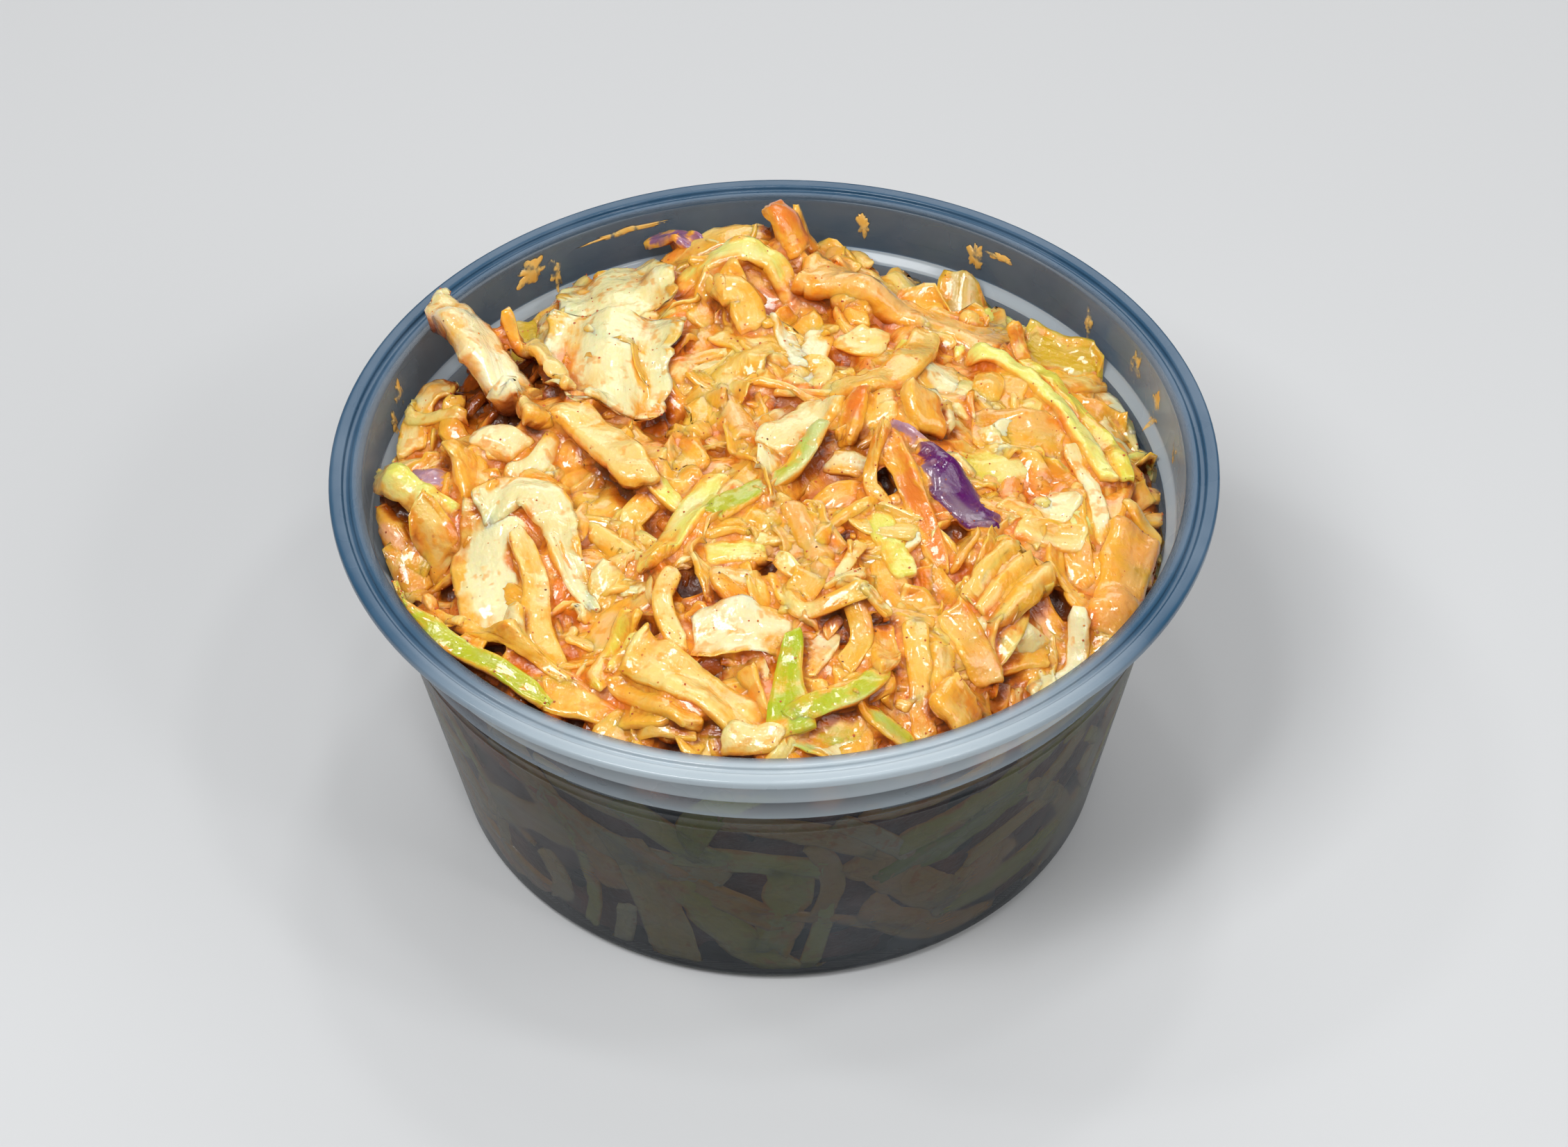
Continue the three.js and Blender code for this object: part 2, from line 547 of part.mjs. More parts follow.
function planRows(piece) {
  const steps = Math.max(FEWEST_STEPS, Math.round(pathLength(piece.path) / LAYING_STEP));
  const pairs = Math.max(1, Math.round(piece.width / LAYING_STEP / 2), 2 * (piece.folds ?? 0));
  const columns = 2 * pairs;
  const flatness = Math.cos(THREE.MathUtils.degToRad(piece.roll ?? 0));
  const rows = [];
  for (let i = 0; i <= steps; i++) {
    const t = i / steps;
    const [x, y, lift] = alongPath(piece.path, t);
    const [aheadX, aheadY] = alongPath(piece.path, Math.min(1, t + LOOK_AHEAD));
    const [behindX, behindY] = alongPath(piece.path, Math.max(0, t - LOOK_AHEAD));
    const length = Math.hypot(aheadX - behindX, aheadY - behindY);
    const side = { x: (behindY - aheadY) / length, y: (aheadX - behindX) / length };
    const half = halfWidth(piece, t) * flatness;
    const row = [];
    for (let j = 0; j <= columns; j++) {
      const reach = half * ((2 * j) / columns - 1);
      row.push({ x: x + side.x * reach, y: y + side.y * reach, z: 0, lift });
    }
    rows.push(row);
  }
  return rows;
}

// Pleats that run along the piece.
function fold(piece, across) {
  if (!piece.folds) return 0;
  return piece.foldHeight * Math.cos(across * piece.folds * Math.PI);
}

// Evens the heights out along and across, as a stiff piece does, but never
// lets it press far into what it lies on.
function eased(below, passes) {
  let heights = below.map((row) => [...row]);
  for (let pass = 0; pass < passes; pass++) {
    heights = heights.map((row, i) => row.map((height, j) => {
      const ahead = heights[Math.min(heights.length - 1, i + 1)][j];
      const behind = heights[Math.max(0, i - 1)][j];
      const left = row[Math.max(0, j - 1)];
      const right = row[Math.min(row.length - 1, j + 1)];
      const mean = (2 * height + ahead + behind + left + right) / 6;
      return Math.max(mean, below[i][j] - PRESS);
    }));
  }
  return heights;
}

// Keeps every so many rows and columns, with the first and the last.
function thinned(rows, alongCount, acrossCount) {
  const pick = (list, count) => {
    const last = list.length - 1;
    return Array.from({ length: count + 1 }, (_, k) => list[Math.round((k * last) / count)]);
  };
  return pick(rows, alongCount).map((row) => pick(row, acrossCount));
}

function rowNormals(rows) {
  return rows.map((row, i) => row.map((_, j) => {
    const ahead = rows[Math.min(rows.length - 1, i + 1)][j];
    const behind = rows[Math.max(0, i - 1)][j];
    const left = row[Math.max(0, j - 1)];
    const right = row[Math.min(row.length - 1, j + 1)];
    const length = new THREE.Vector3().subVectors(ahead, behind);
    const width = new THREE.Vector3().subVectors(right, left);
    return length.cross(width).normalize();
  }));
}

// A thin closed solid about a surface, both faces split alike.
function sheetSolid(rows, thick) {
  const normals = rowNormals(rows);
  const columns = rows[0].length;
  const positions = [];
  for (const side of [1, -1]) {
    rows.forEach((row, i) => row.forEach((point, j) => {
      const offset = normals[i][j].clone().multiplyScalar((side * thick) / 2);
      const corner = keepInside(offset.add(point));
      positions.push(corner.x, corner.y, corner.z);
    }));
  }
  const under = rows.length * columns;
  const at = (i, j) => i * columns + j;
  const corners = [];
  const quad = (a, b, c, d) => corners.push(a, b, c, a, c, d);
  for (let i = 0; i + 1 < rows.length; i++) {
    for (let j = 0; j + 1 < columns; j++) {
      quad(at(i, j + 1), at(i, j), at(i + 1, j), at(i + 1, j + 1));
      quad(under + at(i, j), under + at(i, j + 1), under + at(i + 1, j + 1), under + at(i + 1, j));
    }
    const edge = columns - 1;
    quad(at(i, 0), under + at(i, 0), under + at(i + 1, 0), at(i + 1, 0));
    quad(at(i + 1, edge), under + at(i + 1, edge), under + at(i, edge), at(i, edge));
  }
  const end = rows.length - 1;
  for (let j = 0; j + 1 < columns; j++) {
    quad(at(0, j + 1), under + at(0, j + 1), under + at(0, j), at(0, j));
    quad(at(end, j), under + at(end, j), under + at(end, j + 1), at(end, j + 1));
  }
  return solidFromArrays(positions, corners);
}

function placedSolid(piece, field) {
  const rows = layPiece(piece, field);
  const facets = Math.round(pathLength(piece.path) / FACET_LENGTH);
  const alongCount = Math.max(2, Math.min(rows.length - 1, facets));
  const flatCount = Math.max(1, Math.round(piece.width / FACET_WIDTH));
  const acrossCount = piece.folds ? 2 * piece.folds + 1 : flatCount;
  return sheetSolid(thinned(rows, alongCount, acrossCount), piece.thick);
}

// Shreds spread evenly over the heap on a sunflower spiral, none in a hole.
function strewnPieces() {
  const random = seeded(STREWN.seed);
  const pieces = [];
  for (let i = 0; i < STREWN.count; i++) {
    const radius = (MOUTH_RADIUS - STREWN_INSET) * Math.sqrt((i + 0.5) / STREWN.count);
    const angle = i * GOLDEN_ANGLE;
    const heading = 2 * Math.PI * random();
    const half = between(random, STREWN.length) / 2;
    const bow = half * (random() - 0.5) * STREWN_BOW;
    const width = between(random, STREWN.width);
    const thick = between(random, STREWN.thick);
    const lift = STREWN_LIFT * random() ** 2;
    const x = radius * Math.cos(angle);
    const y = radius * Math.sin(angle);
    const ahead = [Math.cos(heading) * half, Math.sin(heading) * half];
    if (holeDepth(x, y) > OPEN_HOLE) continue;
    pieces.push({
      width,
      thick,
      path: [
        [x - ahead[0], y - ahead[1], 0],
        [x - (ahead[1] * bow) / half, y + (ahead[0] * bow) / half, 0],
        [x + ahead[0], y + ahead[1], lift],
      ],
    });
  }
  return pieces;
}

// A shred that lies flat against the inside of the tub's wall.
function wallSolid(index, random) {
  const { count, length, width, thick } = WALL_SHREDS;
  const heading = Math.PI * random();
  const long = between(random, length) / 2;
  const wide = between(random, width) / 2;
  const angle = index * GOLDEN_ANGLE;
  const share = (index + 0.5) / count;
  const height = THREE.MathUtils.lerp(FLOOR + WALL_MARGIN, HEAP_EDGE - WALL_MARGIN, share);
  const rows = [];
  for (const t of [-1, 0, 1]) {
    const row = [];
    for (const side of [-1, 1]) {
      const around = t * long * Math.cos(heading) - side * wide * Math.sin(heading);
      const up = t * long * Math.sin(heading) + side * wide * Math.cos(heading);
      const z = THREE.MathUtils.clamp(height + up, FLOOR + 1, HEAP_EDGE - 0.5);
      const radius = roomAt(z) - thick / 2;
      const turn = angle + around / radius;
      row.push(new THREE.Vector3(radius * Math.cos(turn), radius * Math.sin(turn), z));
    }
    rows.push(row);
  }
  return sheetSolid(rows, thick);
}

// The core: as wide as the tub allows less its inset, with a domed top.
function coreSolid() {
  const profile = [new THREE.Vector2(0, FLOOR + CLEARANCE)];
  const wallHeights = [FLOOR + CLEARANCE, FLOOR + CORE_CORNER, BAND_BOTTOM - CORE_BRIM];
  wallHeights.forEach((z) => profile.push(new THREE.Vector2(roomAt(z) - CORE_INSET, z)));
  const edge = roomAt(BAND_BOTTOM) - CORE_INSET;
  for (let ring = CORE_RINGS; ring >= 0; ring--) {
    profile.push(new THREE.Vector2((edge * ring) / CORE_RINGS, HEAP_EDGE));
  }
  const geometry = turned(profile, CORE_SIDES);
  const position = geometry.attributes.position;
  for (let i = 0; i < position.count; i++) {
    const [x, y, z] = [position.getX(i), position.getY(i), position.getZ(i)];
    const onTop = z > HEAP_EDGE - WELD;
    if (onTop) position.setZ(i, Math.max(coreHeight(x, y), BAND_BOTTOM - CORE_BRIM / 2));
  }
  return solidFrom(geometry);
}

// The core and all the pieces in one. A scrap that touches nothing is left out.
function slaw() {
  const field = new Field();
  const solids = [coreSolid()];
  for (const piece of [...strewnPieces(), ...PLACED]) {
    solids.push(placedSolid(piece, field));
  }
  const random = seeded(WALL_SHREDS.seed);
  for (let i = 0; i < WALL_SHREDS.count; i++) {
    solids.push(wallSolid(i, random));
  }
  const joined = wasm.Manifold.union(solids);
  const bodies = joined.decompose();
  const largest = bodies.reduce((best, body) => (body.volume() > best.volume() ? body : best));
  return geometryFrom(largest.simplify(WELD));
}

// -------------------------------------------------------------------- group

function part(name, geometry, finish) {
  const mesh = new THREE.Mesh(geometry, new THREE.MeshStandardMaterial(finish));
  mesh.name = name;
  return mesh;
}

const group = new THREE.Group();
group.add(part("tub", tub(), { color: 0xb9c3cc, roughness: 0.3, metalness: 0 }));
group.add(part("slaw", slaw(), { color: 0xf0b878, roughness: 0.35, metalness: 0 }));

export default group;
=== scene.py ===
"""A round clear tub heaped with dressed coleslaw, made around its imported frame.

The file is laid out as an add-on: settings, one operator for each piece or group
of like pieces, and a panel. Sizes of the tub and the heap are in millimetres and
become metres as a mesh is written.
"""

import math
import random

import bmesh
import bpy
import numpy as np
from mathutils import Matrix, Vector
from mathutils.bvhtree import BVHTree
from mathutils.kdtree import KDTree


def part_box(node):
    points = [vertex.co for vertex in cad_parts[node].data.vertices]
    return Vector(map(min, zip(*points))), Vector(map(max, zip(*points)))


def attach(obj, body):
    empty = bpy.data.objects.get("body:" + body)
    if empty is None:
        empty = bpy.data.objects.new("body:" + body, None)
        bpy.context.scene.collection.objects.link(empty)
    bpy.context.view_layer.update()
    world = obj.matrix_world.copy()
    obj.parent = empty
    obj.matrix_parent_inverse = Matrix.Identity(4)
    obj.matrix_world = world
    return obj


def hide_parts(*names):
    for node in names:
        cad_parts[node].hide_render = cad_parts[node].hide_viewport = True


bl_info = {
    "name": "Coleslaw tub",
    "version": (1, 0, 0),
    "blender": (4, 5, 0),
    "location": "View3D > Sidebar > Coleslaw",
    "description": "Makes a clear tub heaped with dressed coleslaw",
    "category": "Object",
}

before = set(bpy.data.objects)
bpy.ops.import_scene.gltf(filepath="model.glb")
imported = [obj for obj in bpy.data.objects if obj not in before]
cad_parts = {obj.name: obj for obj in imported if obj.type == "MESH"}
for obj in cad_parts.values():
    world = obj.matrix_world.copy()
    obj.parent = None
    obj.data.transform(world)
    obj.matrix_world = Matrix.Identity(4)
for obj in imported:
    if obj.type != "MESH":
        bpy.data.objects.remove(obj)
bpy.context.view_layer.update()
TUB_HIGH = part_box("tub")[1]

MM = 0.001
TINY = 1e-6

# ------------------------------------------------------- sizes of the tub, mm

RIM_RADIUS = TUB_HIGH.x / MM
TUB_HEIGHT = TUB_HIGH.z / MM
RIM_DEPTH = 1.3
RIM_GROOVE = 0.6
MOUTH_RADIUS = 54
BAND_RADIUS = 52.6
BAND_TOP_RADIUS = 55.6
BAND_BOTTOM = 40.5
NECK_RADIUS = 51.7
LEDGE_HEIGHT = 45.4
LEDGE_OUTER_RADIUS = 53.2
LEDGE_INNER_RADIUS = 51.8
LEDGE_SLOPE = 0.6
WALL = 0.8
BASE_RADIUS = 44
BASE_CORNER = 1.2
FLOOR = 1
TUB_STEPS = 180

LUG_COUNT = 8
LUG_WIDTH_DEG = 9
LUG_FIRST_DEG = -71.5
LUG_DROP = 0.5

# ------------------------------------------------------ sizes of the heap, mm

CLEARANCE = 0.3
CORE_DEPTH = 3
HEAP_MIDDLE = 56
HEAP_EDGE = 44
HEAP_FULLNESS = 0.8

# Where the heap swells above its plain dome or falls short: x, y, height, spread.
SWELLS = [
    (-4, 44, 7, 11),
    (-24, 42, 2.5, 8),
    (-24, 24, 2.5, 11),
    (-50, 0, 4, 13),
    (-36, -38, 2.5, 10),
    (0, -48, 2, 12),
    (30, 38, -3.5, 9),
    (52, 10, -2, 9),
]

# Open holes between the shreds, which go down this far: x, y, radius.
HOLE_DEPTH = 6
HOLES = [
    (-15, 9, 4),
    (-43, 10, 3),
    (-44, -14, 4.5),
    (11.5, 22, 2.5),
    (26, 22, 2.5),
    (22, -22, 2.5),
    (29, -37, 5.5),
    (41, -18, 2.5),
    (36, -29, 3),
    (1, 31, 3),
]

FIELD_CELL = 1.5
LAYING_STEP = 2
PRESS = 0.9
BITE = 0.8
EASING_PASSES = 4
STIFF_PASSES = 6
STIFF_WIDTH = 9
GOLDEN_ANGLE = math.radians(137.508)
RING_GAP = 0.6
# The step along a path, as a share of it, over which its direction is taken.
HEADING_STEP = 0.01


def laid(name, kind, width, thick, *path, start_width=None, end_width=None, tip=0.6,
         folds=0, fold_height=0, roll=0):
    """A shred or leaf that is laid on the heap along a path of (x, y, lift)."""
    return {
        "name": name,
        "kind": kind,
        "width": width,
        "thick": thick,
        "path": path,
        "start_width": start_width or width,
        "end_width": end_width or width,
        "tip": tip,
        "folds": folds,
        "fold_height": fold_height,
        "roll": roll,
        "ring_gap": RING_GAP,
    }


# Shreds and leaves placed one by one, the lowest first. The lift is the height
# above what the piece lies on, and folds are pleats that run along the piece.
PLACED = [
    # left side, by the wall
    laid("carrot by the wall", "carrot", 5, 2.4, (-53, -3, 3.4), (-46.5, -14, 2.2), tip=0.8),
    laid("red cabbage block", "mauve", 6.5, 4.5, (-49, -1.5, 2.4), (-42.5, -2.5, 2.4), tip=0.9),
    laid("left wall shred", "cream", 3, 1.6, (-50, 19, 2), (-52, 8, 1.5)),
    laid("left loop", "cream", 5, 1.6, (-43, 21, 2), (-47.5, 18, 2.5), (-49, 9, 0)),
    laid("orange bow", "peach", 2.8, 1.6, (-42, 17, 3), (-43, 12, 2), (-39, 8, 1), (-34, 6, 0)),
    laid("left upright", "peach", 6, 3, (-42, 8, 1), (-40, 0, 0.5), (-38, -6, 0)),
    laid("cream arm", "lime", 3.6, 1.8,
         (-54, 5, 2.6), (-50, -2.5, 2), (-45, -6.5, 1.5), (-38.5, -9.5, 0)),
    # back
    laid("back arch, outer", "peach", 5, 1.6,
         (-17, 40, 0), (-10, 44, 2), (-2, 44, 2), (4, 39, 1)),
    laid("back arch, inner", "lime", 4, 1.4, (-16, 33, 0), (-9, 38, 2), (-1, 38, 2), (4, 33, 0)),
    laid("back shred, left", "peach", 4, 1.6, (-10, 27, 0), (-8, 36, 1)),
    laid("back shred, middle", "peach", 5, 2, (8, 40, 0), (11, 31, 0.5)),
    laid("carrot stub", "carrot", 4.6, 3, (0, 47.5, 6), (4, 41, 1), tip=0.9),
    laid("back ridge shred", "peach", 4.5, 2, (-6, 36, 0.5), (-4, 26, 0)),
    laid("knuckle", "peach", 5, 3, (-8, 31, 1), (-4, 30, 1.5), (-3, 25, 0)),
    laid("thin back shred", "peach", 3, 1.5, (-2, 26, 0), (3, 33, 1)),
    laid("curled leaf, small", "cream", 6, 1,
         (17, 46, 1), (19.5, 41.5, 0), folds=1, fold_height=1),
    laid("curled leaf", "olive", 8, 1, (27, 43.5, 6), (26.5, 38, 0), folds=1, fold_height=1.5),
    laid("long peach shred", "apricot", 6.9, 3.4,
         (4, 38, 2.8), (17, 33, 3), (32.5, 27, 2.8), start_width=9, end_width=10, tip=0.9),
    laid("red wisp", "mauve", 3, 1.2, (-17.5, 51, 9), (-14, 48, 7.5), (-9, 44, 3)),
    # right side
    laid("tan shred", "peach", 4, 2, (30, 21, 0), (28, 12, 0)),
    laid("cream wedge", "cream", 7, 2, (36, 18, 0), (33, 9, 0), end_width=3),
    laid("cream flake", "white", 6, 1.2, (20, 19, 0.5), (25, 14, 0.5), folds=1, fold_height=0.7),
    laid("right wisp", "peach", 2.2, 1.4, (46, -3, 0.5), (51, -8, 0.5)),
    laid("right leaf", "cream", 7, 1.2, (46, 19.5, 0), (51, 13, 0), folds=1, fold_height=1),
    laid("right carrot", "carrot", 3, 2, (45, 11, 0), (48, 2, 0)),
    laid("right peach leaf", "apricot", 7.5, 1.4, (26, 7, 0.4), (39, 7, 0.4)),
    laid("right cream shred", "white", 2.8, 1.8, (39, 5, 0.5), (42, -3, 0.5), (43, -12, 0)),
    laid("right strands", "apricot", 4, 1.8, (39, -2, 0), (39.5, -18, 0)),
    laid("white flake", "white", 6, 1.2, (34, -5, 0.5), (40, -7, 0.5)),
    laid("yellow edged leaf", "yellow", 8, 1.3,
         (24, -1, 0), (36, 1, 0.5), folds=1, fold_height=0.7),
    laid("right wall shred", "apricot", 6.9, 3, (47.5, -8, 0.5), (42.5, -27, 1), tip=0.9),
    laid("folded green flap", "olive", 10, 1.1, (33.5, 28, 1.5), (46.5, 25.5, 1.5), roll=55),
    laid("green flap, fold", "yellow", 2.4, 1.2, (33, 28, 3), (34.5, 24, 2), (39, 20.5, 1), tip=0.8),
    laid("green pair, outer", "lime", 2.6, 1.8,
         (34, 23.5, 2.2), (38, 18, 2), (43.5, 10, 2), (46.5, 0, 1.2), end_width=3.2, tip=0.8),
    laid("green pair, inner", "lime", 2.6, 1.8,
         (25, 25, 2), (31.5, 21, 2), (38.5, 12, 2), (44.5, -1, 1.2), end_width=3.2, tip=0.8),
    # middle
    laid("peach heap leaf", "apricot", 11, 1.4, (-7, 15, 0), (-4, 3, 0), folds=2, fold_height=0.8),
    laid("middle shred, left", "peach", 6, 2, (-18, 12, 0), (-10, -3, 0)),
    laid("middle shred, second", "peach", 5, 1.8, (-23, 11, 0), (-14, -1, 0)),
    laid("thin yellow shred", "yellow", 1.8, 1.4, (-25, 9, 0.5), (-18, 0, 0.5)),
    laid("white shred", "white", 4.4, 1.8, (7, 27, 1), (3.5, 15, 0)),
    laid("white shred, short", "white", 3.2, 1.6, (1, 27, 0.5), (4, 18, 0)),
    laid("cream block", "cream", 6, 4, (11, 5, 0), (17, 6, 0), tip=0.8),
    laid("cream block, right", "peach", 5, 4, (19, 8, 0), (20, 2, 0), tip=0.8),
    laid("middle carrot", "carrot", 3.6, 2.2, (12.5, 14, 0.8), (9.5, 0, 0.8)),
    laid("carrot end", "carrot", 3, 2, (12, 22, 0.5), (13, 16, 0)),
    laid("big cream shred", "white", 6.6, 2.4, (8, 9, 1), (-1, 0, 0.6)),
    laid("cream bow", "cream", 5, 2, (7.5, 13, 1.6), (14, 13, 2.2), (19, 19, 2.2), (21, 27, 1.6)),
    laid("crumpled cream leaf", "cream", 7, 1.4,
         (20, -1, 0), (25, -6, 0), folds=2, fold_height=0.9),
    laid("yellow shred, right", "lime", 4.2, 1.8, (12, -5, 0.5), (14, -14, 0.5), (17, -22, 0)),
    laid("red cabbage leaf, dressed", "mauve", 4.6, 1.8, (14, 1.8, 0.6), (22, -4.5, 1.2), tip=0.8),
    laid("red cabbage leaf", "red", 6.4, 1.8,
         (18, -1.5, 0.6), (23, -7, 1.6), (28.5, -13, 1.6), start_width=3, tip=0.3),
    laid("carrot on red leaf", "carrot", 3.8, 2.2,
         (14, 0, 3), (17.6, -8, 2.6), (21.3, -19.5, 0.8), end_width=2.4, tip=0.25),
    laid("hook by the red leaf", "peach", 2, 1.6, (15, 0, 1.6), (12.4, -6, 1), (14.8, -11, 0.5)),
    # left middle
    laid("light green patch", "green", 5, 1.4, (-21, 0, 0), (-15, -6, 0)),
    laid("strand under the arm", "lime", 3.6, 1.8, (-29, 3, 0.5), (-21, 0, 0.8), (-12, -9.5, 0.5)),
    laid("ridged pink leaf", "cream", 8, 1.5,
         (-24, -11, 0), (-16, -19, 0), folds=2, fold_height=1.1),
    laid("white block", "white", 6.5, 3.8, (-38, 2, 0.5), (-33, 6, 1.2), tip=0.9),
    laid("bent arm", "cream", 5.6, 3,
         (-33.5, 6, 1.4), (-28, 8, 1.8), (-23, 3, 1.2), (-16.5, -7.5, 0.4), tip=0.8),
    laid("ruffled white leaf", "leaf", 13, 1.5,
         (-35, -7, 3.2), (-35, -18, 2.4), (-32.5, -32, 0.8), folds=1, fold_height=0.5, tip=0.9),
    laid("ruffled leaf, ridge", "cream", 4.4, 2.6,
         (-34, -13, 1.4), (-31, -20, 2), (-30.5, -28, 1.8), (-27, -37, 0.6), start_width=2.4),
    laid("ruffled leaf, frill", "white", 2.8, 1.3,
         (-34, -26, 2.2), (-33, -32, 1.4), (-31.5, -37, 0.5), folds=1, fold_height=0.5),
    laid("ruffled leaf, hood", "leaf", 6, 1.8,
         (-38.5, -9.5, 0.8), (-33, -7, 1.6), (-28.5, -10.5, 1.6), (-27, -17, 1.4), (-23, -25, 0.5),
         end_width=2.4, tip=0.7),
    laid("frilled scrap", "peach", 5, 1.2, (-47, -7, 1), (-42, -12, 0.5), folds=1, fold_height=0.8),
    # front left
    laid("cream scrap", "cream", 2.6, 1.6, (-36.5, -34.5, 1), (-33, -33, 1)),
    laid("white scrap", "cream", 3, 1.4, (-19, -43, 0), (-10, -46, 0)),
    laid("thin strand, outer", "peach", 1.8, 1.4,
         (-48, -19, 1), (-41, -25.5, 1), (-32, -32, 0.5), (-23, -37.5, 0)),
    laid("thin strand, inner", "peach", 1.8, 1.4,
         (-46, -21, 1), (-38, -28.5, 1), (-30, -34, 0.5), (-24, -38.5, 0)),
    laid("front left leaf", "peach", 5, 1.5, (-30, -37.5, 0), (-21, -40.5, 0.5), (-13, -43.5, 0)),
    laid("long green shred", "green", 2.7, 1.6,
         (-51.5, -22.5, 12), (-44, -28, 7.5), (-36.8, -34, 3.2), (-28, -40, 0.8), tip=0.4),
    # front
    laid("pale green block", "lime", 5.5, 3, (-10, -17, 0.5), (-1, -17, 0.5), tip=0.9),
    laid("cream cube", "white", 6, 4, (-9, -23, 0), (-2, -25, 0), tip=0.9),
    laid("peach parallel, upper", "peach", 3, 2, (-8, -24, 1), (0, -32, 0)),
    laid("peach parallel, lower", "peach", 3, 2, (-11, -27, 0.5), (-4, -34, 0)),
    laid("white patch", "white", 7.6, 1.4, (-11, -32, 0.5), (0, -31, 0.5), (7, -35, 0)),
    laid("standing loop", "cream", 3, 2.2, (-13, -21, 1), (-14.5, -27, 1.5), (-12, -34, 0)),
    laid("yellow fork", "yellow", 3.8, 1.8, (-18, -26, 0.5), (-20, -31, 1), (-23.5, -38, 0.5)),
    laid("yellow fork, side", "yellow", 2, 1.4, (-17, -31, 0.5), (-21.5, -36, 0.5)),
    laid("front peach shred", "peach", 4, 2, (-21, -36, 0), (-10, -46, 0.5)),
    laid("broad front shred", "cream", 6.9, 1.6,
         (-19, -33.5, 1.4), (-11, -39.5, 2), (-2, -46, 1), tip=1),
    laid("pale yellow shred", "lime", 4.8, 2, (-7, -4, 1.5), (-11, -12, 1.5), (-17, -21, 1)),
    laid("bright green shred", "green", 2.8, 1.8,
         (6.5, 3, 1.5), (3, -3.5, 1.5), (-3, -8, 1), (-8.5, -13, 0), end_width=4.2),
    laid("middle peach leaf", "apricot", 9, 1.4,
         (2, -9, 0.5), (6, -20, 0), folds=2, fold_height=0.8),
    laid("thin arc, outer", "peach", 1.8, 1.3, (2, -31, 0.5), (6, -27, 1), (12, -26, 0.5)),
    laid("thin arc, inner", "peach", 1.8, 1.3, (6, -32, 0.5), (8, -29, 1), (12, -28, 0.5)),
    laid("cream leaf corner", "cream", 8, 1.6, (15, -25, 0.5), (23, -30, 0.5)),
    laid("front upright shred", "peach", 3.8, 2, (17.5, -28, 0.5), (18.5, -45, 0.5)),
    laid("front upright, right", "peach", 3.4, 2, (21, -32, 0), (21, -43, 0.5)),
    laid("peach block, front", "peach", 6, 2.4, (24, -37, 0), (21, -44, 0.5)),
    laid("cream curl", "cream", 4.2, 2, (3, -41, 0.5), (8, -41, 1), (15, -37, 0.5)),
    laid("green leaf, web", "green", 6.9, 1.2,
         (0, -44, 1), (5.5, -46, 1.2), (13, -45.5, 0.8), tip=0.7),
    laid("green leaf, arm up", "green", 4.4, 1.6,
         (2.4, -32, 2), (1.4, -39, 1.8), (1.6, -47.5, 0.8), start_width=2, end_width=8, tip=0.8),
    laid("green leaf, arm to the right", "green", 3, 1.4,
         (0.5, -45, 1.2), (6, -43, 1.6), (10.5, -41, 1.6), (14, -36.5, 1), tip=0.5),
    laid("green leaf, arm down", "green", 3, 1.2, (10, -41, 1.4), (13.4, -44, 1), (17, -45.5, 0.5)),
    laid("rim block", "cream", 3.6, 2, (-7, -47, -1), (1, -47.5, -1)),
    laid("peach strands", "peach", 4, 1.8, (13, -29, 0), (14, -38, 0)),
    # front right
    laid("strand under the fan", "peach", 4, 1.8, (26, -32, 0), (35, -28, 0.5)),
    laid("fanned leaf", "peach", 11, 2,
         (25.5, -27, 1), (29.5, -22, 2.5), (33, -17, 1.5), folds=4, fold_height=1.4, start_width=9),
    laid("fan foot", "apricot", 5, 1.8, (22, -26, 0), (27, -35, 0)),
    laid("curled strand", "peach", 2.6, 1.6, (29, -8, 0), (34, -10, 1), (33, -14, 0)),
    laid("ruffled wall shred", "white", 3.5, 1.3,
         (38.5, -24, 0.5), (38, -30, 0.5), (32, -34.5, 0.5), folds=1, fold_height=0.8),
    laid("front wall shred", "peach", 2.4, 1.4, (26, -40.5, 1), (33, -36, 1)),
    # back left, on top of the rest
    laid("yellow green bit", "olive", 4.2, 1.6, (-34, 36, 2.5), (-34, 25, 1)),
    laid("bent cream shred", "cream", 4, 1.6, (-28, 36, 2.5), (-26, 25, 2)),
    laid("big pale leaf", "leaf", 17, 1.2,
         (-22, 44, 3), (-21.5, 37, 3.5), (-20, 29, 3),
         folds=2, fold_height=0.6, start_width=14, end_width=20, tip=0.95),
    laid("big folded leaf", "leaf", 20, 1.4,
         (-21, 28, 4), (-22, 18, 4), (-21, 8.5, 2),
         folds=2, fold_height=0.8, start_width=21, end_width=14, tip=0.85),
    laid("tall rib", "leaf", 6.9, 4,
         (-47, 33, 12.5), (-40.5, 22, 8.5), (-33, 9.5, 0.5), start_width=4.6, end_width=7, tip=0.9),
    laid("rib stem", "cream", 2.4, 1.8, (-36, 25, 5), (-30.5, 17, 4), (-26.5, 9.5, 2)),
]

# Shreds strewn by rule below the placed ones.
STREWN = {
    "count": 16,
    "seed": 9011,
    "length": (16, 30),
    "width": (3.5, 7),
    "thick": (1.6, 2.6),
    "lift": 1.5,
    "bow": 0.8,
    "deepest_hole": 1,
}
# How far within the mouth the spirals of shreds end: of the bed, and of the others.
BED_MARGIN = 3
STREWN_MARGIN = 5

